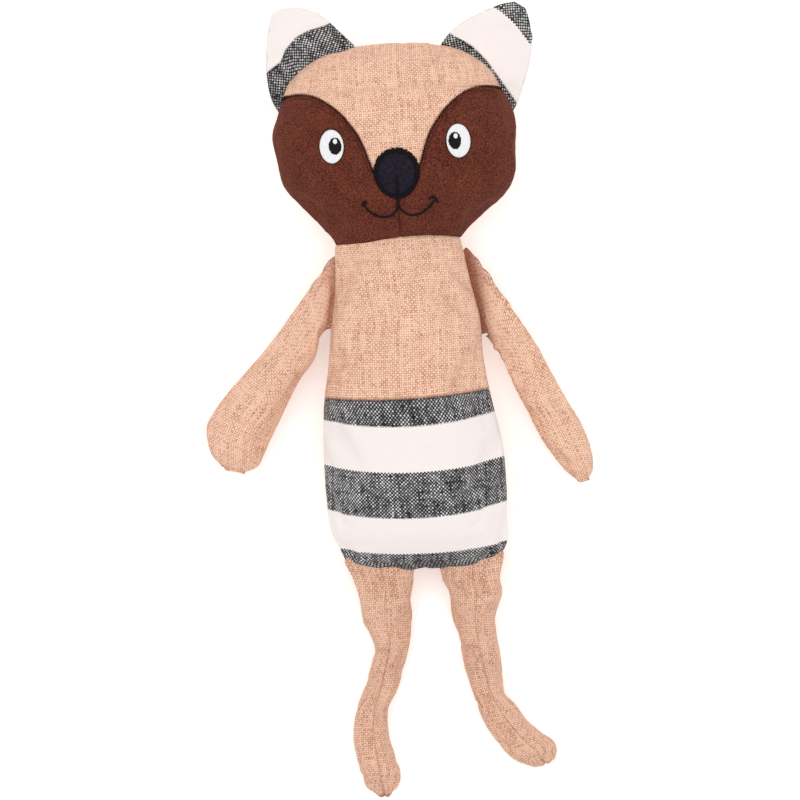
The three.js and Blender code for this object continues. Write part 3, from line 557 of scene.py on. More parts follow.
def limb_rows(root, origin, side, spread, drop, half_depth, shares, wider):
    """Rows of a limb from inside its seam to its tip; wider lets its root out at either end."""
    a, b, off = root
    rest = half_depth - SEAM_EDGE
    along = (b - a) / np.linalg.norm(b - a)
    a, b = a - along * wider[0], b + along * wider[1]
    tucked = ROOT_DEPTH * ROOT_TUCK_SHARE
    rows = []
    for back in (off * (HINGE_OFFSET + ROOT_TUCK), np.zeros(2)):
        rows.append((*(a - back), *(b - back), SEAM_HEIGHT, tucked, tucked))
    for a_out, a_down, b_out, b_down, lift, depth in shares:
        thick = max(half_depth * depth, SEAM_EDGE)
        start = (origin[0] + side * a_out * spread, origin[1] - a_down * drop)
        end = (origin[0] + side * b_out * spread, origin[1] - b_down * drop)
        rows.append((*start, *end, mix(rest, SEAM_HEIGHT, lift), thick, thick))
    tip = (*mix(np.array(start), np.array(end), TIP_SHARE), *mix(np.array(end), np.array(start), TIP_SHARE))
    rows[-1] = (*tip, *rows[-1][4:])
    return rows


def shoulder(side):
    """The arm turns on the body's side seam."""
    a, b = (np.array(point) for point in ARM_HINGE_LINES[side])
    along = (b - a) / np.linalg.norm(b - a)
    return (a, b, np.array([-along[1], along[0]]) * side), a


def hip(side):
    """The leg's seam runs inwards from the body's lower corner."""
    corner, middle = (np.array(point) for point in LEG_SEAM_LINES[side])
    inwards = (middle - corner) / np.linalg.norm(middle - corner)
    start = corner + inwards * LEG_INSET
    a, b, off = hinge_line(start, start + inwards * LEG_SEAM, np.array([0.0, -1.0]))
    origin = (a + b) / 2 - inwards * LEG_INSET
    return ((a, b, off) if side < 0 else (b, a, off)), origin


def ear_anchor(side):
    out, up = EAR_ANCHOR_SHARES
    return np.array([side * HEAD_WIDTH / 2 * out, CHEST_LENGTH + HEAD_LENGTH * up])


def ear_rows(side):
    anchor = ear_anchor(side)
    rows = []
    for shares, depth in zip(EAR_SHARES[side], EAR_DEPTHS):
        start, end = (anchor + np.array([side * out, up]) * EAR_SIZE for out, up in (shares[:2], shares[2:]))
        rows.append((*start, *end, SEAM_HEIGHT, depth, depth))
    return rows


def make_forms():
    forms = {"body": Form(body_rows(), PILLOW_POWER), "head": Form(head_rows(), PILLOW_POWER)}
    forms["body"].notch = HEM_NOTCH
    kinds = (("arm", ARMS, shoulder, ARM_HALF_DEPTH, 0.0), ("leg", LEGS, hip, LEG_HALF_DEPTH, math.pi / 2))
    for kind, limbs, root_of, half_depth, seam_turn in kinds:
        for side, (spread, drop, shares, wider) in limbs.items():
            root, origin = root_of(side)
            rows = limb_rows(root, origin, side, spread, drop, half_depth, shares, wider)
            forms[kind, side] = Form(rows, LIMB_POWER, seam_turn)
            forms[kind, side].root = root
    for side, _ in SIDES:
        forms["ear", side] = Form(ear_rows(side), EAR_POWER)
    return forms


FORMS = make_forms()

# For each kind of bag: spare cloth, push of the stuffing, furthest move, reach past the outline, rings, steps
BAGS = {
    "body": (1.0, 1.0, 2.6, 0.2, 60, 72),
    "head": (1.0, 1.0, 2.6, 0.2, 42, 88),
    "arm": (1.1, 0.8, 2.2, 0.2, 52, 40),
    "leg": (1.5, 0.5, 1.9, 0.7, 56, 40),
    "ear": (0.6, 0.3, 1.0, 0.1, 26, 40),
}
# How the bags' cloth behaves while it is stuffed, and for how many frames
CLOTH_SETTINGS = {
    "vertex_group_mass": "seam",
    "quality": 6,
    "mass": 0.3,
    "tension_stiffness": 18,
    "compression_stiffness": 18,
    "shear_stiffness": 6,
    "bending_stiffness": 0.4,
    "use_pressure": True,
}
STUFFING_FRAMES = 22
CACHE_FRAMES = 40
# Where the moves fade in: levels off the neck, and shares of a limb's length off its root or an ear's tip
NECK_FADES = {"body": (82, 70), "head": (82, 97)}
ROOT_FADE = (0.04, 0.16)
TIP_FADE = (0.94, 0.72)
# How far from its seams the cloth is held by them, and held in the plane, of 1 for half way between two seams
SEAM_HOLD = 0.3
SEAM_HOLD_FLAT = 0.55


def turn_outwards(mesh):
    """Turns every face of a closed mesh outwards."""
    work = bmesh.new()
    work.from_mesh(mesh)
    bmesh.ops.recalc_face_normals(work, faces=work.faces)
    work.to_mesh(mesh)
    work.free()


def kind_of(key):
    return key if isinstance(key, str) else key[0]


def bag_object(key, form, settings):
    """The bag as a mesh with a pinned seam, ready to be stuffed."""
    kind = kind_of(key)
    slack, push, _, _, rings, steps = BAGS[kind]
    t, angle = np.meshgrid(np.linspace(*form.span, rings + 1), round_angles(steps), indexing="ij")
    grid = np.arange((rings + 1) * steps).reshape(rings + 1, steps)
    beside = np.roll(grid, -1, axis=1)
    faces = np.stack([grid[:-1], beside[:-1], beside[1:], grid[1:]], -1).reshape(-1, 4)
    mesh = bpy.data.meshes.new("bag")
    mesh.from_pydata((form.base(t, angle) * MM).reshape(-1, 3).tolist(), [], faces.tolist())
    turn_outwards(mesh)
    bag = bpy.data.objects.new("bag", mesh)
    bpy.context.scene.collection.objects.link(bag)
    seams = (steps // 4, 3 * steps // 4) if kind == "leg" else (0, steps // 2)
    held = np.concatenate([grid[:, seams].ravel(), grid[[0, 1, rings]].ravel()])
    bag.vertex_groups.new(name="seam").add(np.unique(held).tolist(), 1.0, "REPLACE")
    cloth = bag.modifiers.new("Cloth", "CLOTH")
    for name, value in CLOTH_SETTINGS.items():
        setattr(cloth.settings, name, value)
    cloth.settings.shrink_min = -settings.slack * slack
    cloth.settings.uniform_pressure_force = settings.pressure * push
    cloth.settings.effector_weights.gravity = 0
    cloth.point_cache.frame_start = 1
    cloth.point_cache.frame_end = CACHE_FRAMES
    return bag


def kept_inside(form, start, move, reach):
    """The moves, dying out at the seams and cut short where they would pass the outline by more than that."""
    rings, steps = start.shape[:2]
    row = spline(form.rows, np.linspace(*form.span, rings))
    a, b = row[:, None, :2], row[:, None, 2:4]
    across = (b - a) / np.linalg.norm(b - a, axis=-1, keepdims=True)
    half = np.linalg.norm(b - a, axis=-1) / 2
    off_seam = form.off_seam(round_angles(steps))[None, :, None]
    move *= smooth(off_seam, 0, SEAM_HOLD)
    if form.seam_turn == 0:
        move[..., :2] *= smooth(off_seam, 0, SEAM_HOLD_FLAT)
    place = np.sum((start[..., :2] + move[..., :2] - (a + b) / 2) * across, axis=-1)
    past = place - np.clip(place, -half - reach, half + reach)
    move[..., :2] -= past[..., None] * across
    return move


def stuff_all(settings):
    """Lets the stuffing push the slack cloth of every bag out between its seams."""
    bags = {key: bag_object(key, form, settings) for key, form in FORMS.items()}
    for number in range(1, STUFFING_FRAMES + 1):
        bpy.context.scene.frame_set(number)
    scene_state = bpy.context.evaluated_depsgraph_get()
    for key, bag in bags.items():
        kind = kind_of(key)
        _, _, most, reach, rings, steps = BAGS[kind]
        shapes = (bag.evaluated_get(scene_state).data, bag.data)
        found, start = (np.array([v.co for v in shape.vertices]) for shape in shapes)
        found, start = (points.reshape(rings + 1, steps, 3) / MM for points in (found, start))
        move = found - start
        size = np.linalg.norm(move, axis=-1, keepdims=True)
        move *= most * np.tanh(size / most) / np.maximum(size, 1e-6)
        if kind in NECK_FADES:
            move *= smooth(start[..., 1:2], *NECK_FADES[kind])
        else:
            share = (np.arange(rings + 1) / rings)[:, None, None]
            move *= smooth(share, *ROOT_FADE)
            if kind == "ear":
                move *= smooth(share, *TIP_FADE)
        FORMS[key].shift = kept_inside(FORMS[key], start, move, reach)
        mesh = bag.data
        bpy.data.objects.remove(bag)
        bpy.data.meshes.remove(mesh)
    bpy.context.scene.frame_set(1)


# Meshes


def finish_mesh(name, points, faces, material, uvs):
    """A piece from points in millimetres and their places on the cloth, with smooth faces."""
    mesh = bpy.data.meshes.new(name)
    mesh.from_pydata((np.asarray(points) * MM).tolist(), [], faces)
    layer = mesh.uv_layers.new(name="cloth")
    index = np.empty(len(mesh.loops), int)
    mesh.loops.foreach_get("vertex_index", index)
    layer.data.foreach_set("uv", np.asarray(uvs, float)[index].ravel())
    for face in mesh.polygons:
        face.use_smooth = True
    mesh.materials.append(material)
    piece = bpy.data.objects.new(name, mesh)
    bpy.context.scene.collection.objects.link(piece)
    return piece


def sheet(name, outer, normal, uv, seam, thickness, material):
    """A closed piece of cloth with outer as its right side; seam says where it is darkened: along a seam's
    stitched line, by painted shade at an arm's root and along the hip's hem, and a little all over a leg.
    """
    inner = outer - normal * thickness
    inner[..., 2] = np.maximum(inner[..., 2], LINING_GAP)
    rows, columns = outer.shape[:2]
    count = rows * columns
    grid = np.arange(count).reshape(rows, columns)
    a, b, c, d = grid[:-1, :-1], grid[1:, :-1], grid[1:, 1:], grid[:-1, 1:]
    top = np.stack([a, b, c, d], -1).reshape(-1, 4)
    under = np.stack([a, d, c, b], -1).reshape(-1, 4) + count
    border = np.concatenate([grid[0, :], grid[1:, -1], grid[-1, -2::-1], grid[-2:0:-1, 0]])
    following = np.roll(border, -1)
    rim = np.stack([border, following, following + count, border + count], -1)
    points = np.concatenate([outer.reshape(-1, 3), inner.reshape(-1, 3)])
    uvs = np.concatenate([uv.reshape(-1, 2)] * 2)
    faces = np.concatenate([top, under, rim]).tolist()
    piece = finish_mesh(name, points, faces, material, uvs)
    layer = piece.data.attributes.new("seam", "FLOAT", "POINT")
    layer.data.foreach_set("value", np.tile(seam.ravel(), 2).astype(np.float32))
    return piece


def patch(name, rings, lows, material):
    """A closed patch: rings of points from the middle out, over matching rings underneath."""
    count, steps = rings.shape[:2]
    middle = 2 * count * steps
    points = [rings.reshape(-1, 3), lows.reshape(-1, 3), rings[0].mean(0)[None], lows[0].mean(0)[None]]
    points = np.concatenate(points)
    faces = []
    under = count * steps
    for j in range(steps):
        k = (j + 1) % steps
        faces.append((middle, j, k))
        faces.append((middle + 1, under + k, under + j))
        for i in range(count - 1):
            a, b = i * steps + j, i * steps + k
            faces.append((a, a + steps, b + steps, b))
            faces.append((under + a, under + b, under + b + steps, under + a + steps))
        a, b = (count - 1) * steps + j, (count - 1) * steps + k
        faces.append((a, under + a, under + b, b))
    return finish_mesh(name, points, faces, material, points[:, :2])


# How far the end of a thread is rounded out, as a share of its radius
THREAD_END_SHARE = 0.6


def tubes(name, paths, radius, material, sides=6):
    """Lengths of thread along paths, each closed at both ends."""
    points, faces, uvs = [], [], []
    ring = round_angles(sides)
    for path in paths:
        along = np.gradient(path, axis=0)
        along /= np.maximum(np.linalg.norm(along, axis=1, keepdims=True), 1e-9)
        side = np.cross(along, (0.0, 0.0, 1.0))
        side /= np.maximum(np.linalg.norm(side, axis=1, keepdims=True), 1e-9)
        top = np.cross(side, along)
        start = len(points)
        length = run(path, 0)
        for i, middle in enumerate(path):
            for angle in ring:
                points.append(middle + radius * (math.cos(angle) * side[i] + math.sin(angle) * top[i]))
                uvs.append((length[i], angle))
        for i in range(len(path) - 1):
            for j in range(sides):
                k = (j + 1) % sides
                a = start + i * sides
                faces.append((a + j, a + k, a + sides + k, a + sides + j))
        for end, turn in ((0, -1), (len(path) - 1, 1)):
            points.append(path[end] + along[end] * radius * THREAD_END_SHARE * turn)
            uvs.append((length[end], 0))
            tip = len(points) - 1
            a = start + end * sides
            for j in range(sides):
                k = (j + 1) % sides
                faces.append((tip, a + j, a + k)[::turn])
    piece = finish_mesh(name, points, faces, material, uvs)
    turn_outwards(piece.data)
    return piece


# About the length of a seam down the side of a bag, and the distance from stitch to stitch
SEAM_LENGTH = 150.0
STITCH_PITCH = 2.4
# How far a seam's dark line and its groove reach, and how its gathers rise beside it, run and die out
SEAM_LINE = 0.8
SEAM_GROOVE = 1.1
GATHER_RISE = 1.2
GATHER_LENGTHS = (6.5, 3.6)
GATHER_REACH = 5
# How far off its seam cloth takes its slope from the stuffed shape, of 1 for half way between two seams
LOOSE_SPAN = (0.02, 0.3)
# For each sewn edge, how far it is drawn in, as a share of the seam's depth, and how deep it is gathered;
# for a shade or a hem entry, how strong its darkening is and how far it reaches: painted shade at an arm's
# root and along the hip's hem, an even darkening over a whole leg, and the dark end of the seam at a foot's
# tip
SIDE_EDGES = {"sides": (0.35, 0.15)}
CHEST_EDGES = {**SIDE_EDGES, "bottom": (1.0, 0.12)}
# The hem entry here is painted shade along the hips' bottom edge, where the cloth turns under away from the
# light
HIP_EDGES = {**SIDE_EDGES, "top": (1.0, 0.12), "bottom": (0.2, 0.3), "hem": (1.0, 18.0)}
FOREHEAD_EDGES = {"sides": (0.5, 0.15)}
MASK_EDGES = {"sides": (0.7, 0.3), "bottom": (0.6, 0.1)}
HEAD_BACK_EDGES = {"sides": (0.35, 0.3), "bottom": (0.6, 0.1)}
ARM_EDGES = {"sides": (0.35, 0.1), "top": (0.5, 0.1)}
# Painted shade at each arm's root, where it lies in the shadow of the torso's side: how strong, and how far
# it reaches
ARM_SHADES = {-1: (0.8, 6.5), 1: (1.1, 12.5)}
# On the legs, shade darkens the whole leg a little, evenly, and hem marks the dark end of the seam at the
# foot's tip
LEG_EDGES = {"sides": (1.4, 0.3), "top": (0.5, 0.2), "shade": (0.17, 300.0), "hem": (0.75, 2.0)}
EAR_EDGES = {"sides": (0.2, 0.05)}
SEAM_SEEDS = {"body": 10, "head": 30, "arm": 50, "leg": 70, "ear": 90}
SIDE_SEED = 5


def sewn(points, normal, t, depth, edges, seed):
    """Draws the cloth in along its sewn edges and gathers it there, alike on both sides of a seam."""
    across = run(points, 1)
    along = run(points, 0)
    left = along[-1:, :] - along
    lines = []
    if "sides" in edges:
        flip = 1 if points[0, 0, 0] < points[0, -1, 0] else -1
        s = t * SEAM_LENGTH
        lines.append((across, s, seed - flip, edges["sides"]))
        lines.append((across[:, -1:] - across, s, seed + flip, edges["sides"]))
    if "top" in edges:
        lines.append((along, points[..., 0], seed + 2, edges["top"]))
    if "bottom" in edges:
        lines.append((left, points[..., 0], seed + 3, edges["bottom"]))
    moved, seam = np.zeros(points.shape[:2]), np.zeros(points.shape[:2])
    # Painted shade: on an arm, shade darkens the root where the torso's side shades it; on the hips, hem
    # darkens the bottom edge where the cloth turns away from the light. On the legs, shade darkens the whole
    # leg a little and hem marks the dark end of the seam at the foot's tip
    for name, distance in (("shade", along), ("hem", left)):
        if name in edges:
            strength, width = edges[name]
            seam = np.maximum(seam, strength * np.exp(-((distance / width) ** 2)))
    for distance, s, wave_seed, (draw, gather) in lines:
        stitches = 0.75 + 0.25 * np.sin(2 * math.pi * s / STITCH_PITCH)
        seam = np.maximum(seam, min(draw, 1) * stitches * np.exp(-((distance / SEAM_LINE) ** 2)))
        moved = moved - draw * depth * np.exp(-((distance / SEAM_GROOVE) ** 2))
        waves = ripple(s, GATHER_LENGTHS[0], wave_seed) + 0.5 * ripple(s, GATHER_LENGTHS[1], wave_seed + 50)
        fade = np.exp(-distance / GATHER_REACH) * (1 - np.exp(-distance / GATHER_RISE))
        moved = moved + gather * waves * fade
    return points + normal * moved[..., None], seam


def cloth_piece(name, key, t, angle, uv, material, edges):
    """One panel of cloth, cut out of a stuffed form and drawn in along its seams."""
    form = FORMS[key]
    seed = SEED + SEAM_SEEDS[kind_of(key)] + (0 if isinstance(key, str) else SIDE_SEED * key[1])
    sizes = bpy.context.scene.fox_toy_sizes
    points = form.surface(t, angle)
    loose = smooth(form.off_seam(angle), *LOOSE_SPAN)[..., None]
    normal = mix(grid_normals(form.base(t, angle)), grid_normals(points), loose)
    normal /= np.maximum(np.linalg.norm(normal, axis=-1, keepdims=True), 1e-9)
    if np.sum(normal * (points - form.centre(t))) < 0:
        points, uv, t, normal = points[:, ::-1], uv[:, ::-1], t[:, ::-1], -normal[:, ::-1]
    points, seam = sewn(points, normal, t, sizes.seam / MM, edges, seed)
    points[..., 2] = np.maximum(points[..., 2], FLOOR_GAP)
    return sheet(name, points, normal, uv, seam, sizes.cloth / MM, material)


def stands_for(piece, slot, *nodes, fill=None):
    """Hides the nodes that a piece takes the place of; its slot and how full it is are not used."""
    if nodes:
        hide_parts(*nodes)


def follow_neck(piece):
    """Bakes the piece's place into its mesh."""
    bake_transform(piece)


def follow_root(piece, child, root, parent="torso", start=-1.0, end=10.0):
    """Bakes the piece's place into its mesh."""
    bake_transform(piece)


# Materials


def fill(tree, node, inputs):
    """Sets a node's inputs, or links them to a socket or to a node's first output in use."""
    for key, value in inputs.items():
        socket = node.inputs[key]
        if isinstance(value, bpy.types.Node):
            value = next(output for output in value.outputs if output.enabled)
        if isinstance(value, bpy.types.NodeSocket):
            tree.links.new(value, socket)
        elif socket.type == "RGBA":
            socket.default_value = (*value, 1)
        else:
            socket.default_value = value


def add(tree, kind, *inputs, **settings):
    """Adds a node with its settings, and fills its inputs in use in turn."""
    node = tree.nodes.new("ShaderNode" + kind)
    for name, value in settings.items():
        setattr(node, name, value)
    places = [place for place, socket in enumerate(node.inputs) if socket.enabled]
    fill(tree, node, dict(zip(places, inputs)))
    return node


def weighed(tree, start, *terms):
    """The sum of start and of each value times its weight."""
    for value, weight in terms:
        start = add(tree, "Math", value, weight, start, operation="MULTIPLY_ADD")
    return start


def new_material(name, roughness, specular, sheen=0.0, tint=(1, 1, 1)):
    material = bpy.data.materials.new(name)
    material.use_nodes = True
    tree = material.node_tree
    shader = tree.nodes["Principled BSDF"]
    values = {"Roughness": roughness, "Specular IOR Level": specular}
    values |= {"Sheen Weight": sheen, "Sheen Roughness": SHEEN_ROUGHNESS, "Sheen Tint": tint}
    fill(tree, shader, values)
    return material, tree, shader


def coloured_relief(tree, shader, colour, height, strength, depth):
    """Gives the shader its colour, and a relief of so many millimetres from a height."""
    bump = add(tree, "Bump", strength, depth * MM)
    fill(tree, bump, {"Height": height})
    fill(tree, shader, {"Base Color": colour, "Normal": bump})


# Sizes in the patterns, in millimetres
WANDER_LENGTH = 9.09
SWELL_LENGTH = 22.22
FLECK_SIZE = 0.8333
TAN_CLOUD_SIZE = 14.29
BLUSH_SIZE = 5.0
STRIPE_CLOUD_SIZE = (6.25, 3.333)
SUEDE_CLOUD_SIZE = 10.53
SUEDE_GRAIN_SIZE = 0.8
FELT_GRAIN_SIZE = 1.111
STRAND_PITCH = 0.42
WOBBLE_SIZE = 1.25
PEBBLE_SIZE = 2.5
SHEEN_ROUGHNESS = 0.6
# How far apart two threads' patterns lie, so that no two threads swell alike
THREADS_APART = 5.17


def weave_nodes(tree, uv, pitch, wander):
    """A plain weave: height, where an upright thread lies on top, depth of gaps, place, threads' numbers."""
    warp = add(tree, "TexNoise", uv, 1 / WANDER_LENGTH, 2, 0.5)
    drift = weighed(tree, -wander / 2, (warp, wander))
    place = add(tree, "SeparateXYZ", uv)
    threads, waves, ridges = [], [], []
    for axis in (0, 1):
        moved = add(tree, "Math", place.outputs[axis], drift, operation="ADD")
        count = add(tree, "Math", moved, 1 / pitch, operation="MULTIPLY")
        threads.append(add(tree, "Math", count, operation="FLOOR"))
        half_turns = add(tree, "Math", count, math.pi, operation="MULTIPLY")
        waves.append(add(tree, "Math", half_turns, operation="SINE"))
        ridges.append(add(tree, "Math", waves[axis], operation="ABSOLUTE"))
    heights = []
    for ridge, other in (ridges, ridges[::-1]):
        heights.append(add(tree, "Math", ridge, weighed(tree, 0.5, (other, 0.5)), operation="MULTIPLY"))
    over = add(tree, "Math", *waves, operation="MULTIPLY")
    on_top = add(tree, "Math", over, 0.0, operation="GREATER_THAN")
    height = add(tree, "Mix", on_top, heights[1], heights[0])
    higher = add(tree, "Math", *ridges, operation="MAXIMUM")
    gap = weighed(tree, 1.0, (higher, -1.0))
    return height, on_top, gap, place, threads


def yarn_nodes(tree, place, threads):
    """How thick the upright and the cross thread are there, and a chance value for their crossing.

    Each thread swells and thins along its own length.
    """
    swells = []
    for axis in (0, 1):
        thread = add(tree, "Math", threads[axis], THREADS_APART, operation="MULTIPLY")
        along = add(tree, "Math", place.outputs[1 - axis], 1 / SWELL_LENGTH, operation="MULTIPLY")
        swells.append(add(tree, "TexNoise", add(tree, "CombineXYZ", thread, along), 1.0, 2, 0.6))
    chance = add(tree, "TexWhiteNoise", add(tree, "CombineXYZ", *threads), noise_dimensions="2D")
    return *swells, chance


def seams_and_painted_shade(tree, colour, shade, strength):
    """The colour, darkened towards shade along the stitched line of a seam, by painted shade at an arm's root
    and along the hip's hem, and a little all over the legs.
    """
    seam = add(tree, "Attribute", attribute_name="seam").outputs["Fac"]
    share = add(tree, "Math", seam, strength, operation="MULTIPLY")
    return add(tree, "Mix", share, colour, shade, data_type="RGBA", blend_type="MULTIPLY")


def tan_weave(colours):
    """Linen-look weave of slubby yarn: matt, with darker gaps and uneven threads that run both ways.

    The cloth has a thread every 1.05 mm; they are drawn a little coarser, so that they still show.
    """
    material, tree, shader = new_material("tan linen-look weave", 0.92, 0.2, 0.15, linear("#ffe6d8"))
    uv = add(tree, "UVMap", uv_map="cloth")
    pitch = bpy.context.scene.fox_toy_sizes.weave / MM
    height, on_top, gap, place, threads = weave_nodes(tree, uv, pitch, 1.6)
    upright, cross, chance = yarn_nodes(tree, place, threads)
    fleck = add(tree, "TexNoise", uv, 1 / FLECK_SIZE, 2, 0.7)
    cloud = add(tree, "TexNoise", uv, 1 / TAN_CLOUD_SIZE, 2, 0.5)
    blush = add(tree, "TexNoise", uv, 1 / BLUSH_SIZE, 2, 0.6)
    deep = weighed(tree, 1.78, (gap, 1.3), (on_top, -0.36), (upright, -1.2), (cross, -0.75))
    deep = weighed(tree, deep, (fleck, -1.1), (chance, -0.4), (cloud, 0.25))
    light = add(tree, "Mix", blush, colours.tan_light, colours.tan_blush, data_type="RGBA")
    colour = add(tree, "Mix", deep, light, colours.tan_dark, data_type="RGBA")
    # Darker along the stitched seams, with painted shade at each arm's root and the legs a little darker all
    # over
    colour = seams_and_painted_shade(tree, colour, linear("#90624a"), 0.85)
    coloured_relief(tree, shader, colour, weighed(tree, 0.0, (height, 0.7), (upright, 0.6)), 0.45, 0.3)
    return material


def striped_cotton(colours):
    """Yarn-dyed cotton: pale bands, and dark bands where black and pale yarns cross in fine flecks.

    The cloth has a thread every 0.72 mm; they are drawn a little coarser, so that they still show.
    """
    material, tree, shader = new_material("yarn-dyed striped cotton", 0.88, 0.25, 0.15)
    uv = add(tree, "UVMap", uv_map="cloth")
    sizes = bpy.context.scene.fox_toy_sizes
    height, on_top, gap, place, threads = weave_nodes(tree, uv, sizes.chambray / MM, 1.2)
    upright, cross, chance = yarn_nodes(tree, place, threads)
    # Where an upright thread lies on top, the bands lie half a millimetre lower, so their edges are toothed
    level = weighed(tree, STRIPE_START, (place.outputs[1], 1.0), (on_top, 0.5))
    turns = add(tree, "Math", level, 2 * sizes.stripe / MM, operation="DIVIDE")
    dark = add(tree, "Math", add(tree, "Math", turns, operation="FRACT"), 0.5, operation="LESS_THAN")
    cloud_scale = (1 / STRIPE_CLOUD_SIZE[0], 1 / STRIPE_CLOUD_SIZE[1], 1)
    cloud_place = add(tree, "Mapping", uv, (0, 0, 0), (0, 0, 0), cloud_scale)
    cloud = add(tree, "TexNoise", cloud_place, 1.0, 3, 0.6)
    pale = weighed(tree, -2.44, (on_top, 1.0), (gap, -1.6), (upright, 2.0), (cross, 0.9))
    pale = weighed(tree, pale, (cloud, 0.8), (chance, 0.5))
    mixed = add(tree, "Mix", pale, colours.stripe_black, colours.stripe_grey, data_type="RGBA")
    # Dark yarn darker along the seams, with painted shade along the hip's hem, where the cloth turns away
    # from the light
    mixed = seams_and_painted_shade(tree, mixed, linear("#8a8688"), 0.75)
    shade = add(tree, "Math", gap, 0.1, operation="MULTIPLY")
    white = add(tree, "Mix", shade, colours.stripe_white, linear("#d9cbc6"), data_type="RGBA")
    colour = add(tree, "Mix", dark, white, mixed, data_type="RGBA")
    coloured_relief(tree, shader, colour, height, 0.3, 0.2)
    return material


def brushed_suede(colours):
    """Brushed polyester suede: a short nap, cloudy where it was stroked, with a pale bloom at its edges."""
    material, tree, shader = new_material("brown brushed suede", 0.95, 0.12, 0.12, linear("#d79b88"))
    place = add(tree, "TexCoord").outputs["Object"]
    cloud = add(tree, "TexNoise", place, 1 / (SUEDE_CLOUD_SIZE * MM), 3, 0.55)
    grain = add(tree, "TexNoise", place, 1 / (SUEDE_GRAIN_SIZE * MM), 3, 0.75)
    lit = weighed(tree, -2.6, (cloud, 0.8), (grain, 5.4))
    colour = add(tree, "Mix", lit, colours.suede_dark, colours.suede, data_type="RGBA")
    coloured_relief(tree, shader, seams_and_painted_shade(tree, colour, linear("#5c4640"), 0.8), grain, 0.4, 0.3)
    return material


def felt(colours):
    """Pressed wool felt: matt, blue-black, with short fibres lying every way."""
    material, tree, shader = new_material("blue-black felt", 0.95, 0.1, 0.12, linear("#6c6888"))
    place = add(tree, "TexCoord").outputs["Object"]
    grain = add(tree, "TexNoise", place, 1 / (FELT_GRAIN_SIZE * MM), 4, 0.8)
    lit = weighed(tree, -1.75, (grain, 4.5))
    colour = add(tree, "Mix", lit, linear("#15111a"), colours.felt, data_type="RGBA")
    coloured_relief(tree, shader, colour, grain, 0.5, 0.3)
    return material


def embroidery(name, colour, shade, specular):
    """Satin stitch in polyester thread: parallel glossy strands with fine shadows between them."""
    material, tree, shader = new_material(name, 0.6, specular)
    uv = add(tree, "UVMap", uv_map="cloth")
    wobble = add(tree, "TexNoise", uv, 1 / WOBBLE_SIZE, 2, 0.5)
    place = weighed(tree, 0.0, (add(tree, "SeparateXYZ", uv), 1.0), (wobble, 0.5))
    half_turns = add(tree, "Math", place, math.pi / STRAND_PITCH, operation="MULTIPLY")
    strand = add(tree, "Math", add(tree, "Math", half_turns, operation="SINE"), operation="ABSOLUTE")
    mixed = add(tree, "Mix", weighed(tree, 0.5, (strand, -0.5)), colour, shade, data_type="RGBA")
    coloured_relief(tree, shader, mixed, strand, 0.5, 0.2)
    return material


def moulded_plastic(colours):
    """Blow-moulded polyethylene: milky and waxy, with a faint pebble from the mould."""
    material, tree, shader = new_material("milky squeaker plastic", 0.42, 0.5)
    place = add(tree, "TexCoord").outputs["Object"]
    grain = add(tree, "TexNoise", place, 1 / (PEBBLE_SIZE * MM), 2, 0.5)
    colour = add(tree, "Mix", grain, colours.squeaker, linear("#f6f4ee"), data_type="RGBA")
    coloured_relief(tree, shader, colour, grain, 0.2, 0.2)
    return material


CLOTHS = {
    "tan": tan_weave,
    "striped": striped_cotton,
    "suede": brushed_suede,
    "felt": felt,
    "plastic": moulded_plastic,
}
# For each thread: its material's name, its colour among the toy's colours, its shade and how it shines
THREADS = {
    "black": ("black embroidery thread", "thread", "#050406", 0.12),
    "white": ("white embroidery thread", "eye", "#eceef2", 0.3),
    "brown": ("brown sewing thread", "brown_thread", "#1c0a06", 0.15),
}
MADE = {}


def finish(name):
    """The named material, made when it is first asked for."""
    colours = bpy.context.scene.fox_toy_colours
    if name not in MADE and name in THREADS:
        full_name, colour, shade, specular = THREADS[name]
        MADE[name] = embroidery(full_name, getattr(colours, colour), linear(shade), specular)
    elif name not in MADE:
        MADE[name] = CLOTHS[name](colours)
    return MADE[name]


# Panels

# Rows and columns of points in the panels, and how much closer the columns lie at the seams
ROW_STEP = 1.5
BODY_COLUMNS = 73
HEAD_COLUMNS = 81
MASK_COLUMNS = 49
LIMB_COLUMNS = 37
EAR_COLUMNS = 45
FOREHEAD_ROWS = (24, 3, 50)
MASK_ROWS = (52, 18)
HEAD_BACK_ROWS = 72
ARM_ROWS = 92
LEG_ROWS = 100
EAR_ROWS = 52
SEAM_CROWDING = 0.035
# How full the bags are
BODY_FILL = 0.75
HEAD_FILL = 0.85
ARM_FILL = 0.5
LEG_FILL = 0.35
EAR_FILL = 0.15


def front_angles(count):
    """Angles across a half of a form, from its +X seam to its -X seam, a little closer at the seams."""
    s = np.linspace(0, 1, count)
    return math.pi * (s - SEAM_CROWDING * np.sin(2 * math.pi * s))


def from_middle(points):
    """Distance along each row of points from its middle one."""
    across = run(points, 1)
    middle = points.shape[1] // 2
    return across - across[:, middle : middle + 1]


class FOXTOY_OT_stuff(bpy.types.Operator):
    """Stuff the bags: the filling pushes the slack cloth out between its seams"""

    bl_idname = "foxtoy.stuff"
    bl_label = "Stuff the bags"

    def execute(self, context):
        stuff_all(context.scene.fox_toy_sizes)
        return {"FINISHED"}


# How far the body's cloth runs up past the neck seam
NECK_COVER = 6


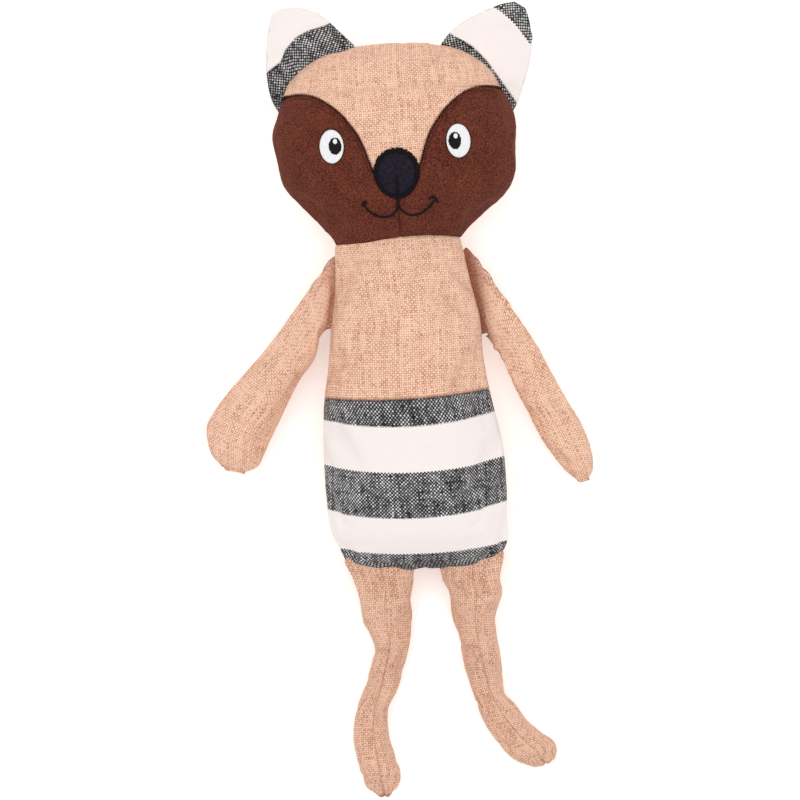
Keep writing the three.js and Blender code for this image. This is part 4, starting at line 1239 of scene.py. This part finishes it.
def body_panel(name, top, bottom, half, material, edges, v_of=None):
    """A panel of the body between two levels; on the front its cross grain dips in the middle."""
    form = FORMS["body"]
    levels = np.linspace(top, bottom, int(abs(top - bottom) / ROW_STEP) + 1)
    angles = front_angles(BODY_COLUMNS) + (0 if half == "front" else math.pi)
    level, angle = np.meshgrid(levels, angles, indexing="ij")
    dip = 0
    if half == "front":
        fade_in, fade_out = (smooth(level, *span) for span in GRAIN_TILT_LEVELS)
        tilt = GRAIN_TILT * np.cos(angle) * (fade_in - fade_out)
        dip = table(GRAIN_DIP, level) * np.sin(angle) ** 2 + tilt
    t = form.at_level(level - dip)
    v = level if v_of is None else table(v_of, level)
    uv = np.stack([from_middle(form.base(t, angle)), v], -1)
    return cloth_piece(name, "body", t, angle, uv, material, edges)


class FOXTOY_OT_body(bpy.types.Operator):
    """Sew the body: chest, striped hips and back"""

    bl_idname = "foxtoy.body"
    bl_label = "Body"

    def execute(self, context):
        top, low = CHEST_LENGTH + NECK_COVER, -HIP_LENGTH
        tan, striped = finish("tan"), finish("striped")
        chest = body_panel("chest_cloth", top, WAIST_LEVEL, "front", tan, CHEST_EDGES)
        hips = body_panel("hip_cloth", WAIST_LEVEL, low, "front", striped, HIP_EDGES, STRIPE_MAP)
        back = body_panel("torso_back_cloth", top, low, "back", tan, SIDE_EDGES)
        stands_for(chest, "tan_weave", "chest_panel", fill=BODY_FILL)
        stands_for(hips, "striped_cotton", "hip_panel", fill=BODY_FILL)
        stands_for(back, "tan_weave", "torso_back_panel", "torso_stuffing", fill=BODY_FILL)
        for piece in (chest, hips, back):
            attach(piece, "torso")
        return {"FINISHED"}


# Samples along the mask's edge, and how far below its highest point the edge is still found
CURVE_SAMPLES = 400
PEAK_GAP = 0.05


def mask_curve(side, shares):
    """The mask's edge on one side: distances from the middle, and levels."""
    curve = spline(np.array(MASK_SHARES), shares)
    x = curve[:, 0] * HEAD_WIDTH / 2
    return x, CHEST_LENGTH + HEAD_LENGTH * curve[:, 1] - side * FACE_TILT * x


def mask_peak(side):
    return mask_curve(side, np.linspace(0, 1, CURVE_SAMPLES))[1].max() - PEAK_GAP


def mask_edge(y, side):
    """Where the mask's edge crosses a level, as a share of the head's half width there."""
    x, level = mask_curve(side, np.linspace(0, 1, CURVE_SAMPLES))
    rising = np.argmax(level)
    half, middle = FORMS["head"].half(FORMS["head"].at_level(y))
    share = (np.interp(y, level[: rising + 1], x[: rising + 1]) - side * middle) / half
    return side * np.where(y > level[rising], 1.0, np.minimum(share, 1.0))


NECK_RISE = 3.6
NECK_TILT = 1.8
NECK_LEVELS = (82, 104)
HEAD_HEM_LEVEL = 81.6
# How close the rows come to the nose's level and the mask's peak, and how the head's curve widens the weave
NOSE_GAP = 0.6
PEAK_STEP = 0.7
PEAK_MARGIN = 0.01
HEAD_GRAIN_SHARE = 1.02


def neck_level(y, s, rise=NECK_RISE):
    """The head's lower edge rises in the middle of the neck and towards the +X side."""
    fade = 1 - smooth(y, *NECK_LEVELS)
    return y + (rise * (1 - s**2) + NECK_TILT * s) * fade


def head_panel(name, levels, s, material, edges):
    """A panel of the head's front: rows of levels, and across them shares of the half width."""
    form = FORMS["head"]
    t = form.at_level(neck_level(np.broadcast_to(levels[:, None], s.shape), s))
    angle = np.arccos(np.clip(s, -1, 1))
    half, _ = form.half(t)
    u = (math.pi / 2 - angle) * half * HEAD_GRAIN_SHARE
    v = run(form.base(t, angle), 0)[:, s.shape[1] // 2][:, None] + 0 * s
    return cloth_piece(name, "head", t, angle, np.stack([u, v], -1), material, edges)


def forehead_panel(top, nose):
    """The forehead, from the crown down between the two halves of the mask."""
    high, low = mask_peak(-1), mask_peak(1)
    crown = np.linspace(top, high, FOREHEAD_ROWS[0])
    peaks = np.linspace(high, low, FOREHEAD_ROWS[1])[1:]
    brow = np.linspace(low - PEAK_STEP, nose + NOSE_GAP, FOREHEAD_ROWS[2])
    levels = np.concatenate([crown, peaks, brow])
    across = (1 + np.cos(front_angles(HEAD_COLUMNS))) / 2
    s = mix(mask_edge(levels, -1)[:, None], mask_edge(levels, 1)[:, None], across[None, :])
    return head_panel("forehead_cloth", levels, s, finish("tan"), FOREHEAD_EDGES)


def mask_panel(name, side, nose):
    """One half of the mask: from the forehead's edge, and below the nose from the middle, out to the side."""
    form = FORMS["head"]
    peak = mask_peak(side)
    above = np.linspace(peak, nose + NOSE_GAP, MASK_ROWS[0])
    below = np.linspace(nose - NOSE_GAP, HEAD_HEM_LEVEL, MASK_ROWS[1])
    levels = np.concatenate([above, below])
    half, middle = form.half(form.at_level(levels))
    edge = mask_edge(np.minimum(levels, peak - PEAK_MARGIN), side)
    inner = np.where(levels > nose, edge, -middle / half)
    span = np.sin(np.linspace(0, 1, MASK_COLUMNS)[None, :] * math.pi / 2)
    s = mix(inner[:, None], side, span)
    return head_panel(f"{name}_mask_cloth", levels, s, finish("suede"), MASK_EDGES)


def head_back_panel(top):
    form = FORMS["head"]
    levels = np.linspace(top, HEAD_HEM_LEVEL, HEAD_BACK_ROWS)
    level, angle = np.meshgrid(levels, front_angles(HEAD_COLUMNS) + math.pi, indexing="ij")
    t = form.at_level(neck_level(level, np.cos(angle), 0.0))
    uv = np.stack([from_middle(form.base(t, angle)), level], -1)
    return cloth_piece("head_back_cloth", "head", t, angle, uv, finish("tan"), HEAD_BACK_EDGES)


class FOXTOY_OT_head(bpy.types.Operator):
    """Sew the head: forehead, the two halves of the mask and the back"""

    bl_idname = "foxtoy.head"
    bl_label = "Head"

    def execute(self, context):
        top = CHEST_LENGTH + HEAD_LENGTH * CROWN_TOP
        nose = CHEST_LENGTH + HEAD_LENGTH * MASK_SHARES[0][1]
        pieces = [forehead_panel(top, nose)]
        stands_for(pieces[0], "tan_weave", "forehead_panel", fill=HEAD_FILL)
        for side, name in SIDES:
            pieces.append(mask_panel(name, side, nose))
            stands_for(pieces[-1], "brown_suede", f"{name}_face_mask", fill=HEAD_FILL)
        pieces.append(head_back_panel(top))
        stands_for(pieces[-1], "tan_weave", "head_back_panel", "head_stuffing", fill=HEAD_FILL)
        for piece in pieces:
            follow_neck(piece)
        return {"FINISHED"}


def sew_limb(kind, side, name, halves, edges, rows, overlap=0.0):
    """The two panels of a limb by their half, each from root to tip and half way round from its start."""
    form = FORMS[kind, side]
    t = np.linspace(*form.span, rows)
    down = run(form.base(t, np.full(rows, math.pi / 2)), 0)
    pieces = {}
    for half, start in halves:
        angles = np.linspace(start - overlap, start + math.pi + overlap, LIMB_COLUMNS)
        grid_t, angle = np.meshgrid(t, angles, indexing="ij")
        u = from_middle(form.base(grid_t, angle))
        uv = np.stack([u, np.broadcast_to(-down[:, None], u.shape)], -1)
        full_name = f"{name}_{kind}_{half}_cloth"
        pieces[half] = cloth_piece(full_name, (kind, side), grid_t, angle, uv, finish("tan"), edges)
    return pieces


class FOXTOY_OT_arms(bpy.types.Operator):
    """Sew the arms: a front and a back panel each"""

    bl_idname = "foxtoy.arms"
    bl_label = "Arms"

    def execute(self, context):
        halves = (("front", 0), ("back", math.pi))
        for side, name in SIDES:
            # Each arm's root is darkened with painted shade, where the torso's side shades it
            edges = {**ARM_EDGES, "shade": ARM_SHADES[side]}
            for half, piece in sew_limb("arm", side, name, halves, edges, ARM_ROWS).items():
                nodes = [f"{name}_arm_{half}_panel"] + ([f"{name}_arm_stuffing"] if half == "back" else [])
                stands_for(piece, "tan_weave", *nodes, fill=ARM_FILL)
                follow_root(piece, f"{name}_arm", FORMS["arm", side].root)
        return {"FINISHED"}


# How far two leg panels run past each other, as an angle, and where the leg's bend ends
LEG_OVERLAP = 0.05
LEG_BEND_END = 12.0


class FOXTOY_OT_legs(bpy.types.Operator):
    """Sew the legs: an outer and an inner panel each, joined down the front and the back"""

    bl_idname = "foxtoy.legs"
    bl_label = "Legs"

    def execute(self, context):
        for side, name in SIDES:
            halves = (("outer", -side * math.pi / 2), ("inner", side * math.pi / 2))
            pieces = sew_limb("leg", side, name, halves, LEG_EDGES, LEG_ROWS, LEG_OVERLAP)
            for half, piece in pieces.items():
                nodes = [f"{name}_leg_{half}_panel"] + ([f"{name}_leg_stuffing"] if half == "outer" else [])
                stands_for(piece, "tan_weave", *nodes, fill=LEG_FILL)
                follow_root(piece, f"{name}_leg", FORMS["leg", side].root, end=LEG_BEND_END)
        return {"FINISHED"}


# Where an ear's bend starts and ends, off its base
EAR_BEND = (7.0, 17.0)


def ear_fold(side):
    """The line that an ear folds on, and its outward direction."""
    start_out, start_up, end_out, end_up = EAR_FOLDS[side]
    anchor = ear_anchor(side)
    start = anchor + np.array([side * start_out, start_up]) * EAR_SIZE
    end = anchor + np.array([side * end_out, end_up]) * EAR_SIZE
    along = side * (end - start) / np.linalg.norm(end - start)
    off = np.array([-along[1], along[0]])
    return start, end, off if off[1] > 0 else -off, along


class FOXTOY_OT_ears(bpy.types.Operator):
    """Sew the ears: two layers of striped cotton each, sewn into the head's seam"""

    bl_idname = "foxtoy.ears"
    bl_label = "Ears"

    def execute(self, context):
        stripe = context.scene.fox_toy_sizes.stripe / MM
        for side, name in SIDES:
            form = FORMS["ear", side]
            start, end, off, along = ear_fold(side)
            origin = start if side > 0 else end
            place, low, high = np.array(EAR_BANDS[side]).T
            for half, first in (("front", 0), ("back", math.pi)):
                angles = np.linspace(first, first + math.pi, EAR_COLUMNS)
                t, angle = np.meshgrid(np.linspace(0, 1, EAR_ROWS), angles, indexing="ij")
                flat = form.base(t, angle)[..., :2] - origin
                u = flat @ along
                near, far = np.interp(u, place, low), np.interp(u, place, high)
                uv = np.stack([u, -STRIPE_START - (flat @ off - near) / (far - near) * stripe], -1)
                full_name = f"{name}_ear_{half}_cloth"
                piece = cloth_piece(full_name, ("ear", side), t, angle, uv, finish("striped"), EAR_EDGES)
                stands_for(piece, "striped_cotton", f"{name}_ear_{half}_layer", fill=EAR_FILL)
                follow_root(piece, f"{name}_ear", (start, end, off), "head", *EAR_BEND)
        return {"FINISHED"}


# Face

# How far the face's middle lies aside, and how deep its patches go into the cloth
FACE_MIDDLE = 0.4
PATCH_DEPTH = 0.5
RING_CROWDING = 0.7


def oval(width, height, steps=48):
    phi = round_angles(steps)
    return np.stack([np.cos(phi) * width / 2, np.sin(phi) * height / 2], -1)


def face_patch(name, centre, outline, lifts, material, rings=8, crown=4.0, dent=None):
    """A patch that lies on the face, with lifts over the cloth for its middle and its rounded edge."""
    head = FORMS["head"]
    lift, base = lifts
    share = np.linspace(1 / rings, 1, rings)[:, None] ** RING_CROWDING
    x, y = centre[0] + share * outline[:, 0], centre[1] + share * outline[:, 1]
    height = base + (lift - base) * (1 - share**crown) + 0 * x
    if dent is not None:
        height = height - dent(x - centre[0], y - centre[1])
    under = head.on_front(x, y, base - PATCH_DEPTH + 0 * x)
    return patch(name, head.on_front(x, y, height), under, material)


# The eyes: width and height of each part, its lifts over the cloth, and how far it lies off the part beneath
EYE_ASIDE = 0.45
EYE_SIZE = (12.7, 17.8)
EYE_LIFTS = (0.8, 0.25)
# A ring of dark thread just outside each eye white: painted shadow along the raised eye's edge
EYE_SHADOW_RING_SIZE = (12.9, 18.0)
EYE_SHADOW_RING_STEPS = 72
EYE_SHADOW_RING_LIFT = 0.12
EYE_SHADOW_RING_RADIUS = 0.28
PUPIL_SIZE = (6.5, 9.0)
PUPIL_LIFTS = (1.35, 0.8)
PUPIL_PLACE = (2.0, 0.1)
PUPIL_RAGGED = 0.05
GLINT_SIZE = (2.2, 2.8)
GLINT_LIFTS = (1.75, 1.3)
GLINT_PLACE = (0.3, 2.4)


class FOXTOY_OT_eyes(bpy.types.Operator):
    """Embroider the eyes: white ovals ringed by dark thread as painted shadow, pupils and highlights"""

    bl_idname = "foxtoy.eyes"
    bl_label = "Eyes"

    def execute(self, context):
        rng = np.random.default_rng(SEED + 1)
        white, black = finish("white"), finish("black")
        for side, name in SIDES:
            x = side * EYE_SPACING / 2 + EYE_ASIDE
            y = EYE_LEVEL - FACE_TILT * x
            eye = face_patch(f"{name}_eye_satin", (x, y), oval(*EYE_SIZE), EYE_LIFTS, white)
            stands_for(eye, "white_thread", f"{name}_eye_white")
            # The dark ring stands in for the shadow round the raised eye: painted shadow
            edge = oval(*EYE_SHADOW_RING_SIZE, EYE_SHADOW_RING_STEPS)
            lift = np.full(EYE_SHADOW_RING_STEPS, EYE_SHADOW_RING_LIFT)
            path = FORMS["head"].on_front(x + edge[:, 0], y + edge[:, 1], lift)
            rim = tubes(f"{name}_eye_shadow_ring", [np.vstack([path, path[:1]])], EYE_SHADOW_RING_RADIUS, finish("brown"))
            stands_for(rim, "black_thread")
            ragged = oval(*PUPIL_SIZE)
            ragged = ragged * (1 + rng.uniform(-PUPIL_RAGGED, PUPIL_RAGGED, (len(ragged), 1)))
            centre = (x - side * PUPIL_PLACE[0], y + PUPIL_PLACE[1])
            pupil = face_patch(f"{name}_pupil_satin", centre, ragged, PUPIL_LIFTS, black, 6)
            stands_for(pupil, "black_thread", f"{name}_pupil")
            spot = (centre[0] + GLINT_PLACE[0], centre[1] + GLINT_PLACE[1])
            glint = face_patch(f"{name}_highlight_satin", spot, oval(*GLINT_SIZE, 24), GLINT_LIFTS, white, 4)
            stands_for(glint, "white_thread", f"{name}_eye_highlight")
            for piece in (eye, rim, pupil, glint):
                follow_neck(piece)
        return {"FINISHED"}


# Half the nose's width and height, how much wider it is at the top, and the felt's share of it
NOSE_HALF = (11.7, 13.1)
NOSE_EGG = 0.08
NOSE_FELT_SHARE = 0.98
NOSE_LIFTS = (2.2, 0.5)
# The stitched slit down the nose: how deep and wide, and between which distances below the middle it begins
SLIT_DEPTH = 1.1
SLIT_WIDTH = 1.0
SLIT_START = (-3.0, 1.0)
# Each satin stitch over the nose's edge: shares of the way out, and lifts over the cloth there
NOSE_STITCHES = 104
NOSE_STITCH_RADIUS = 0.42
STITCH_SHARES = (0.84, 0.88, 0.92, 0.96)
STITCH_REACHES = (0.97, 1.03)
STITCH_LIFTS = (1.85, 1.9, 1.6, 1.05, 0.2)


def egg(steps):
    """The nose's outline, wider at the top, counter-clockwise from the right."""
    phi = round_angles(steps)
    wide = NOSE_HALF[0] * (1 + NOSE_EGG * np.sin(phi))
    return np.stack([np.cos(phi) * wide, np.sin(phi) * NOSE_HALF[1]], -1)


def nose_slit(x, y):
    return SLIT_DEPTH * np.exp(-((x / SLIT_WIDTH) ** 2)) * smooth(-y, *SLIT_START)


class FOXTOY_OT_nose(bpy.types.Operator):
    """Sew on the felt nose, with satin stitches round it and a stitched slit"""

    bl_idname = "foxtoy.nose"
    bl_label = "Nose"

    def execute(self, context):
        rng = np.random.default_rng(SEED + 2)
        centre = (FACE_MIDDLE, NOSE_LEVEL)
        outline = egg(96) * NOSE_FELT_SHARE
        nose = face_patch("nose_felt", centre, outline, NOSE_LIFTS, finish("felt"), 14, 5.0, nose_slit)
        stands_for(nose, "black_felt", "nose_patch")
        stitches = []
        for point in egg(NOSE_STITCHES):
            share = np.array([*STITCH_SHARES, rng.uniform(*STITCH_REACHES)])
            x, y = centre[0] + point[0] * share, centre[1] + point[1] * share
            stitches.append(FORMS["head"].on_front(x, y, np.array(STITCH_LIFTS)))
        border = tubes("nose_satin_edge", stitches, NOSE_STITCH_RADIUS, finish("black"), 5)
        stands_for(border, "black_thread")
        for piece in (nose, border):
            follow_neck(piece)
        return {"FINISHED"}


MOUTH_RADIUS = 0.55
SMILE_LIFT = 0.45
SMILE_STEPS = 44
# Under the nose: points below the nose's middle, their lift over the cloth, and how many steps
MOUTH_DROPS = (((-0.8, -9), 1.5, 12), ((-9, -13.2, MOUTH_LEVEL - 0.2 - NOSE_LEVEL), 0.9, 20))
# The dimple at each end of the smile: points from that end, and how many steps
DIMPLES = {
    -1: (((-0.4, -0.9), (1.0, 1.0), (2.0, -0.2)), 10),
    1: (((-3.8, 0.6), (-0.6, 1.2), (1.2, -1.8)), 12),
}
DIMPLE_LIFT = 0.5


def laid(points, start, lift, steps):
    """A smooth line through points counted from start, laid on the face."""
    flat = spline(np.array(points, float) + start, np.linspace(0, 1, steps))
    return FORMS["head"].on_front(flat[:, 0], flat[:, 1], np.full(steps, lift))


class FOXTOY_OT_mouth(bpy.types.Operator):
    """Embroider the mouth and the line under the nose"""

    bl_idname = "foxtoy.mouth"
    bl_label = "Mouth"

    def execute(self, context):
        middle = np.array([FACE_MIDDLE, MOUTH_LEVEL])
        paths = [laid(SMILES[side], middle, SMILE_LIFT, SMILE_STEPS) for side, _ in SIDES]
        for levels, lift, steps in MOUTH_DROPS:
            paths.append(laid([(0, level) for level in levels], (FACE_MIDDLE, NOSE_LEVEL), lift, steps))
        for side, (points, steps) in DIMPLES.items():
            paths.append(laid(points, middle + SMILES[side][-1], DIMPLE_LIFT, steps))
        mouth = tubes("mouth_thread", paths, MOUTH_RADIUS, finish("black"), 8)
        stands_for(mouth, "black_thread", "mouth_stitching")
        follow_neck(mouth)
        return {"FINISHED"}


# The part of the mask's edge that is stitched, and how far off the zigzag's corners and the second line are
STITCHED_SHARES = (0.03, 0.985)
ZIGZAG_OFFSETS = (-0.45, 0.75)
ZIGZAG_LIFT = 0.12
LINE_OFFSET = 2.1
LINE_LIFT = -0.02
LINE_STEPS = 360
LINE_RADIUS_SHARE = 0.8
# The second line's stitches: their length, the share of it above the cloth, and the fewest points in one
LINE_STITCH = 2.2
LINE_STITCH_SHARE = 0.86
LINE_STITCH_POINTS = 4
EDGE_SAMPLES = 200


def mask_line(offset, steps, side):
    """Points along the edge of one half of the mask, offset into the mask, and the length run to each."""
    flat = np.stack(mask_curve(side, np.linspace(*STITCHED_SHARES, steps)), -1)
    along = np.gradient(flat, axis=0)
    along /= np.linalg.norm(along, axis=1, keepdims=True)
    flat = flat + np.stack([along[:, 1], -along[:, 0]], -1) * np.broadcast_to(offset, steps)[:, None]
    return side * flat[:, 0], flat[:, 1], run(flat, 0)


class FOXTOY_OT_mask_stitching(bpy.types.Operator):
    """Stitch the mask's edge down with a zigzag, and run a second line inside it"""

    bl_idname = "foxtoy.mask_stitching"
    bl_label = "Mask stitching"

    def execute(self, context):
        head = FORMS["head"]
        sizes = context.scene.fox_toy_sizes
        radius = sizes.thread / MM / 2
        zigzags, runs = [], []
        for side, _ in SIDES:
            length = mask_line(0.0, EDGE_SAMPLES, side)[2][-1]
            pairs = int(length / (sizes.stitch / MM))
            x, y, _ = mask_line(np.tile(ZIGZAG_OFFSETS, pairs), 2 * pairs, side)
            zigzags.append(head.on_front(x, y, np.full(2 * pairs, ZIGZAG_LIFT), exact=False))
            x, y, length = mask_line(LINE_OFFSET, LINE_STEPS, side)
            path = head.on_front(x, y, np.full(LINE_STEPS, LINE_LIFT), exact=False)
            stitch = (length / LINE_STITCH).astype(int)
            seen = np.mod(length / LINE_STITCH, 1) <= LINE_STITCH_SHARE
            for number in range(stitch.max()):
                pick = (stitch == number) & seen
                if pick.sum() >= LINE_STITCH_POINTS:
                    runs.append(path[pick])
        edge = tubes("mask_zigzag_thread", zigzags, radius, finish("brown"), 5)
        line = tubes("mask_line_thread", runs, radius * LINE_RADIUS_SHARE, finish("brown"), 5)
        for piece in (edge, line):
            stands_for(piece, "black_thread")
            follow_neck(piece)
        return {"FINISHED"}


class FOXTOY_OT_squeaker(bpy.types.Operator):
    """Give the squeaker inside the body its plastic"""

    bl_idname = "foxtoy.squeaker"
    bl_label = "Squeaker"

    def execute(self, context):
        for name in ("squeaker_bladder", "squeaker_reed"):
            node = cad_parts[name]
            node.data.materials.clear()
            node.data.materials.append(finish("plastic"))
        return {"FINISHED"}


# Stage, in metres

FLOOR_SIZE = 12
# A little light of the floor's own, so that it comes out white, and a little more that only the camera sees
FLOOR_GLOW = 0.17
FLOOR_SEEN = 0.1
# The soft lamps: where each stands, and its share of their strength
LAMPS = (((-0.45, 0.5, 1.7), 0.62), ((0.7, -0.4, 1.6), 0.38))
LAMP_ANGLE = 55
# The camera: how far off, how wide the picture is at the toy, where its middle lies and how far it is turned
CAMERA_DISTANCE = 9.0
VIEW_WIDTH = 0.42
VIEW_MIDDLE = (-0.0049, 0.0002)
VIEW_TURN = 3.4
SENSOR_WIDTH = 36
FAR_CLIP = 50


def white_floor():
    """A matt white floor."""
    bpy.ops.mesh.primitive_plane_add(size=FLOOR_SIZE, location=(0, 0, 0))
    floor = bpy.context.active_object
    floor.name = "floor"
    material, tree, shader = new_material("white floor", 1.0, 0.0)
    seen = add(tree, "LightPath").outputs["Is Camera Ray"]
    glow = weighed(tree, FLOOR_GLOW, (seen, FLOOR_SEEN))
    white = (1, 1, 1)
    fill(tree, shader, {"Base Color": white, "Emission Color": white, "Emission Strength": glow})
    floor.data.materials.append(material)


def even_light(sky):
    """Light from all round, as bright as sky, on a background that is seen as plain white."""
    world = bpy.data.worlds.new("even light")
    world.use_nodes = True
    tree = world.node_tree
    rays = add(tree, "LightPath").outputs
    seen = add(tree, "Math", rays["Is Camera Ray"], rays["Is Glossy Ray"], operation="MAXIMUM")
    seen = add(tree, "Math", seen, rays["Is Transmission Ray"], operation="MAXIMUM")
    strength = weighed(tree, sky, (seen, 1 - sky))
    fill(tree, tree.nodes["Background"], {"Color": (1, 1, 1), "Strength": strength})
    bpy.context.scene.world = world


class FOXTOY_OT_stage(bpy.types.Operator):
    """Set the stage: a white floor, soft lamps, even light all round and the camera"""

    bl_idname = "foxtoy.stage"
    bl_label = "Stage"

    def execute(self, context):
        sizes = context.scene.fox_toy_sizes
        link = context.scene.collection.objects.link
        white_floor()
        for place, share in LAMPS:
            lamp = bpy.data.lights.new("soft lamp", "SUN")
            lamp.angle = math.radians(LAMP_ANGLE)
            lamp.energy = sizes.sun * share
            holder = bpy.data.objects.new("soft lamp", lamp)
            holder.location = place
            holder.rotation_euler = (-Vector(place)).to_track_quat("-Z", "Y").to_euler()
            link(holder)
        even_light(sizes.sky)
        context.scene.view_settings.view_transform = "Standard"
        camera = bpy.data.cameras.new("camera")
        camera.sensor_width = SENSOR_WIDTH
        camera.lens = SENSOR_WIDTH * CAMERA_DISTANCE / VIEW_WIDTH
        camera.clip_end = FAR_CLIP
        holder = bpy.data.objects.new("camera", camera)
        holder.location = (*VIEW_MIDDLE, SEAM_HEIGHT * MM + CAMERA_DISTANCE)
        holder.rotation_euler = (0, 0, -math.radians(VIEW_TURN))
        link(holder)
        context.scene.camera = holder
        return {"FINISHED"}


OPERATORS = (
    FOXTOY_OT_stage,
    FOXTOY_OT_stuff,
    FOXTOY_OT_body,
    FOXTOY_OT_head,
    FOXTOY_OT_arms,
    FOXTOY_OT_legs,
    FOXTOY_OT_ears,
    FOXTOY_OT_eyes,
    FOXTOY_OT_nose,
    FOXTOY_OT_mouth,
    FOXTOY_OT_mask_stitching,
    FOXTOY_OT_squeaker,
)


class FOXTOY_PT_panel(bpy.types.Panel):
    """The toy's pieces, in the order they are made"""

    bl_label = "Fox toy"
    bl_idname = "FOXTOY_PT_panel"
    bl_space_type = "VIEW_3D"
    bl_region_type = "UI"
    bl_category = "Fox toy"

    def draw(self, context):
        for operator in OPERATORS:
            self.layout.operator(operator.bl_idname)
        for group in (context.scene.fox_toy_sizes, context.scene.fox_toy_colours):
            for name in group.__annotations__:
                self.layout.prop(group, name)


CLASSES = (FoxToyColours, FoxToySizes, *OPERATORS, FOXTOY_PT_panel)


def register():
    for one in CLASSES:
        bpy.utils.register_class(one)
    bpy.types.Scene.fox_toy_colours = bpy.props.PointerProperty(type=FoxToyColours)
    bpy.types.Scene.fox_toy_sizes = bpy.props.PointerProperty(type=FoxToySizes)


def unregister():
    del bpy.types.Scene.fox_toy_sizes
    del bpy.types.Scene.fox_toy_colours
    for one in reversed(CLASSES):
        bpy.utils.unregister_class(one)


def main():
    register()
    for operator in OPERATORS:
        group, name = operator.bl_idname.split(".")
        getattr(getattr(bpy.ops, group), name)()


if __name__ == "__main__":
    main()
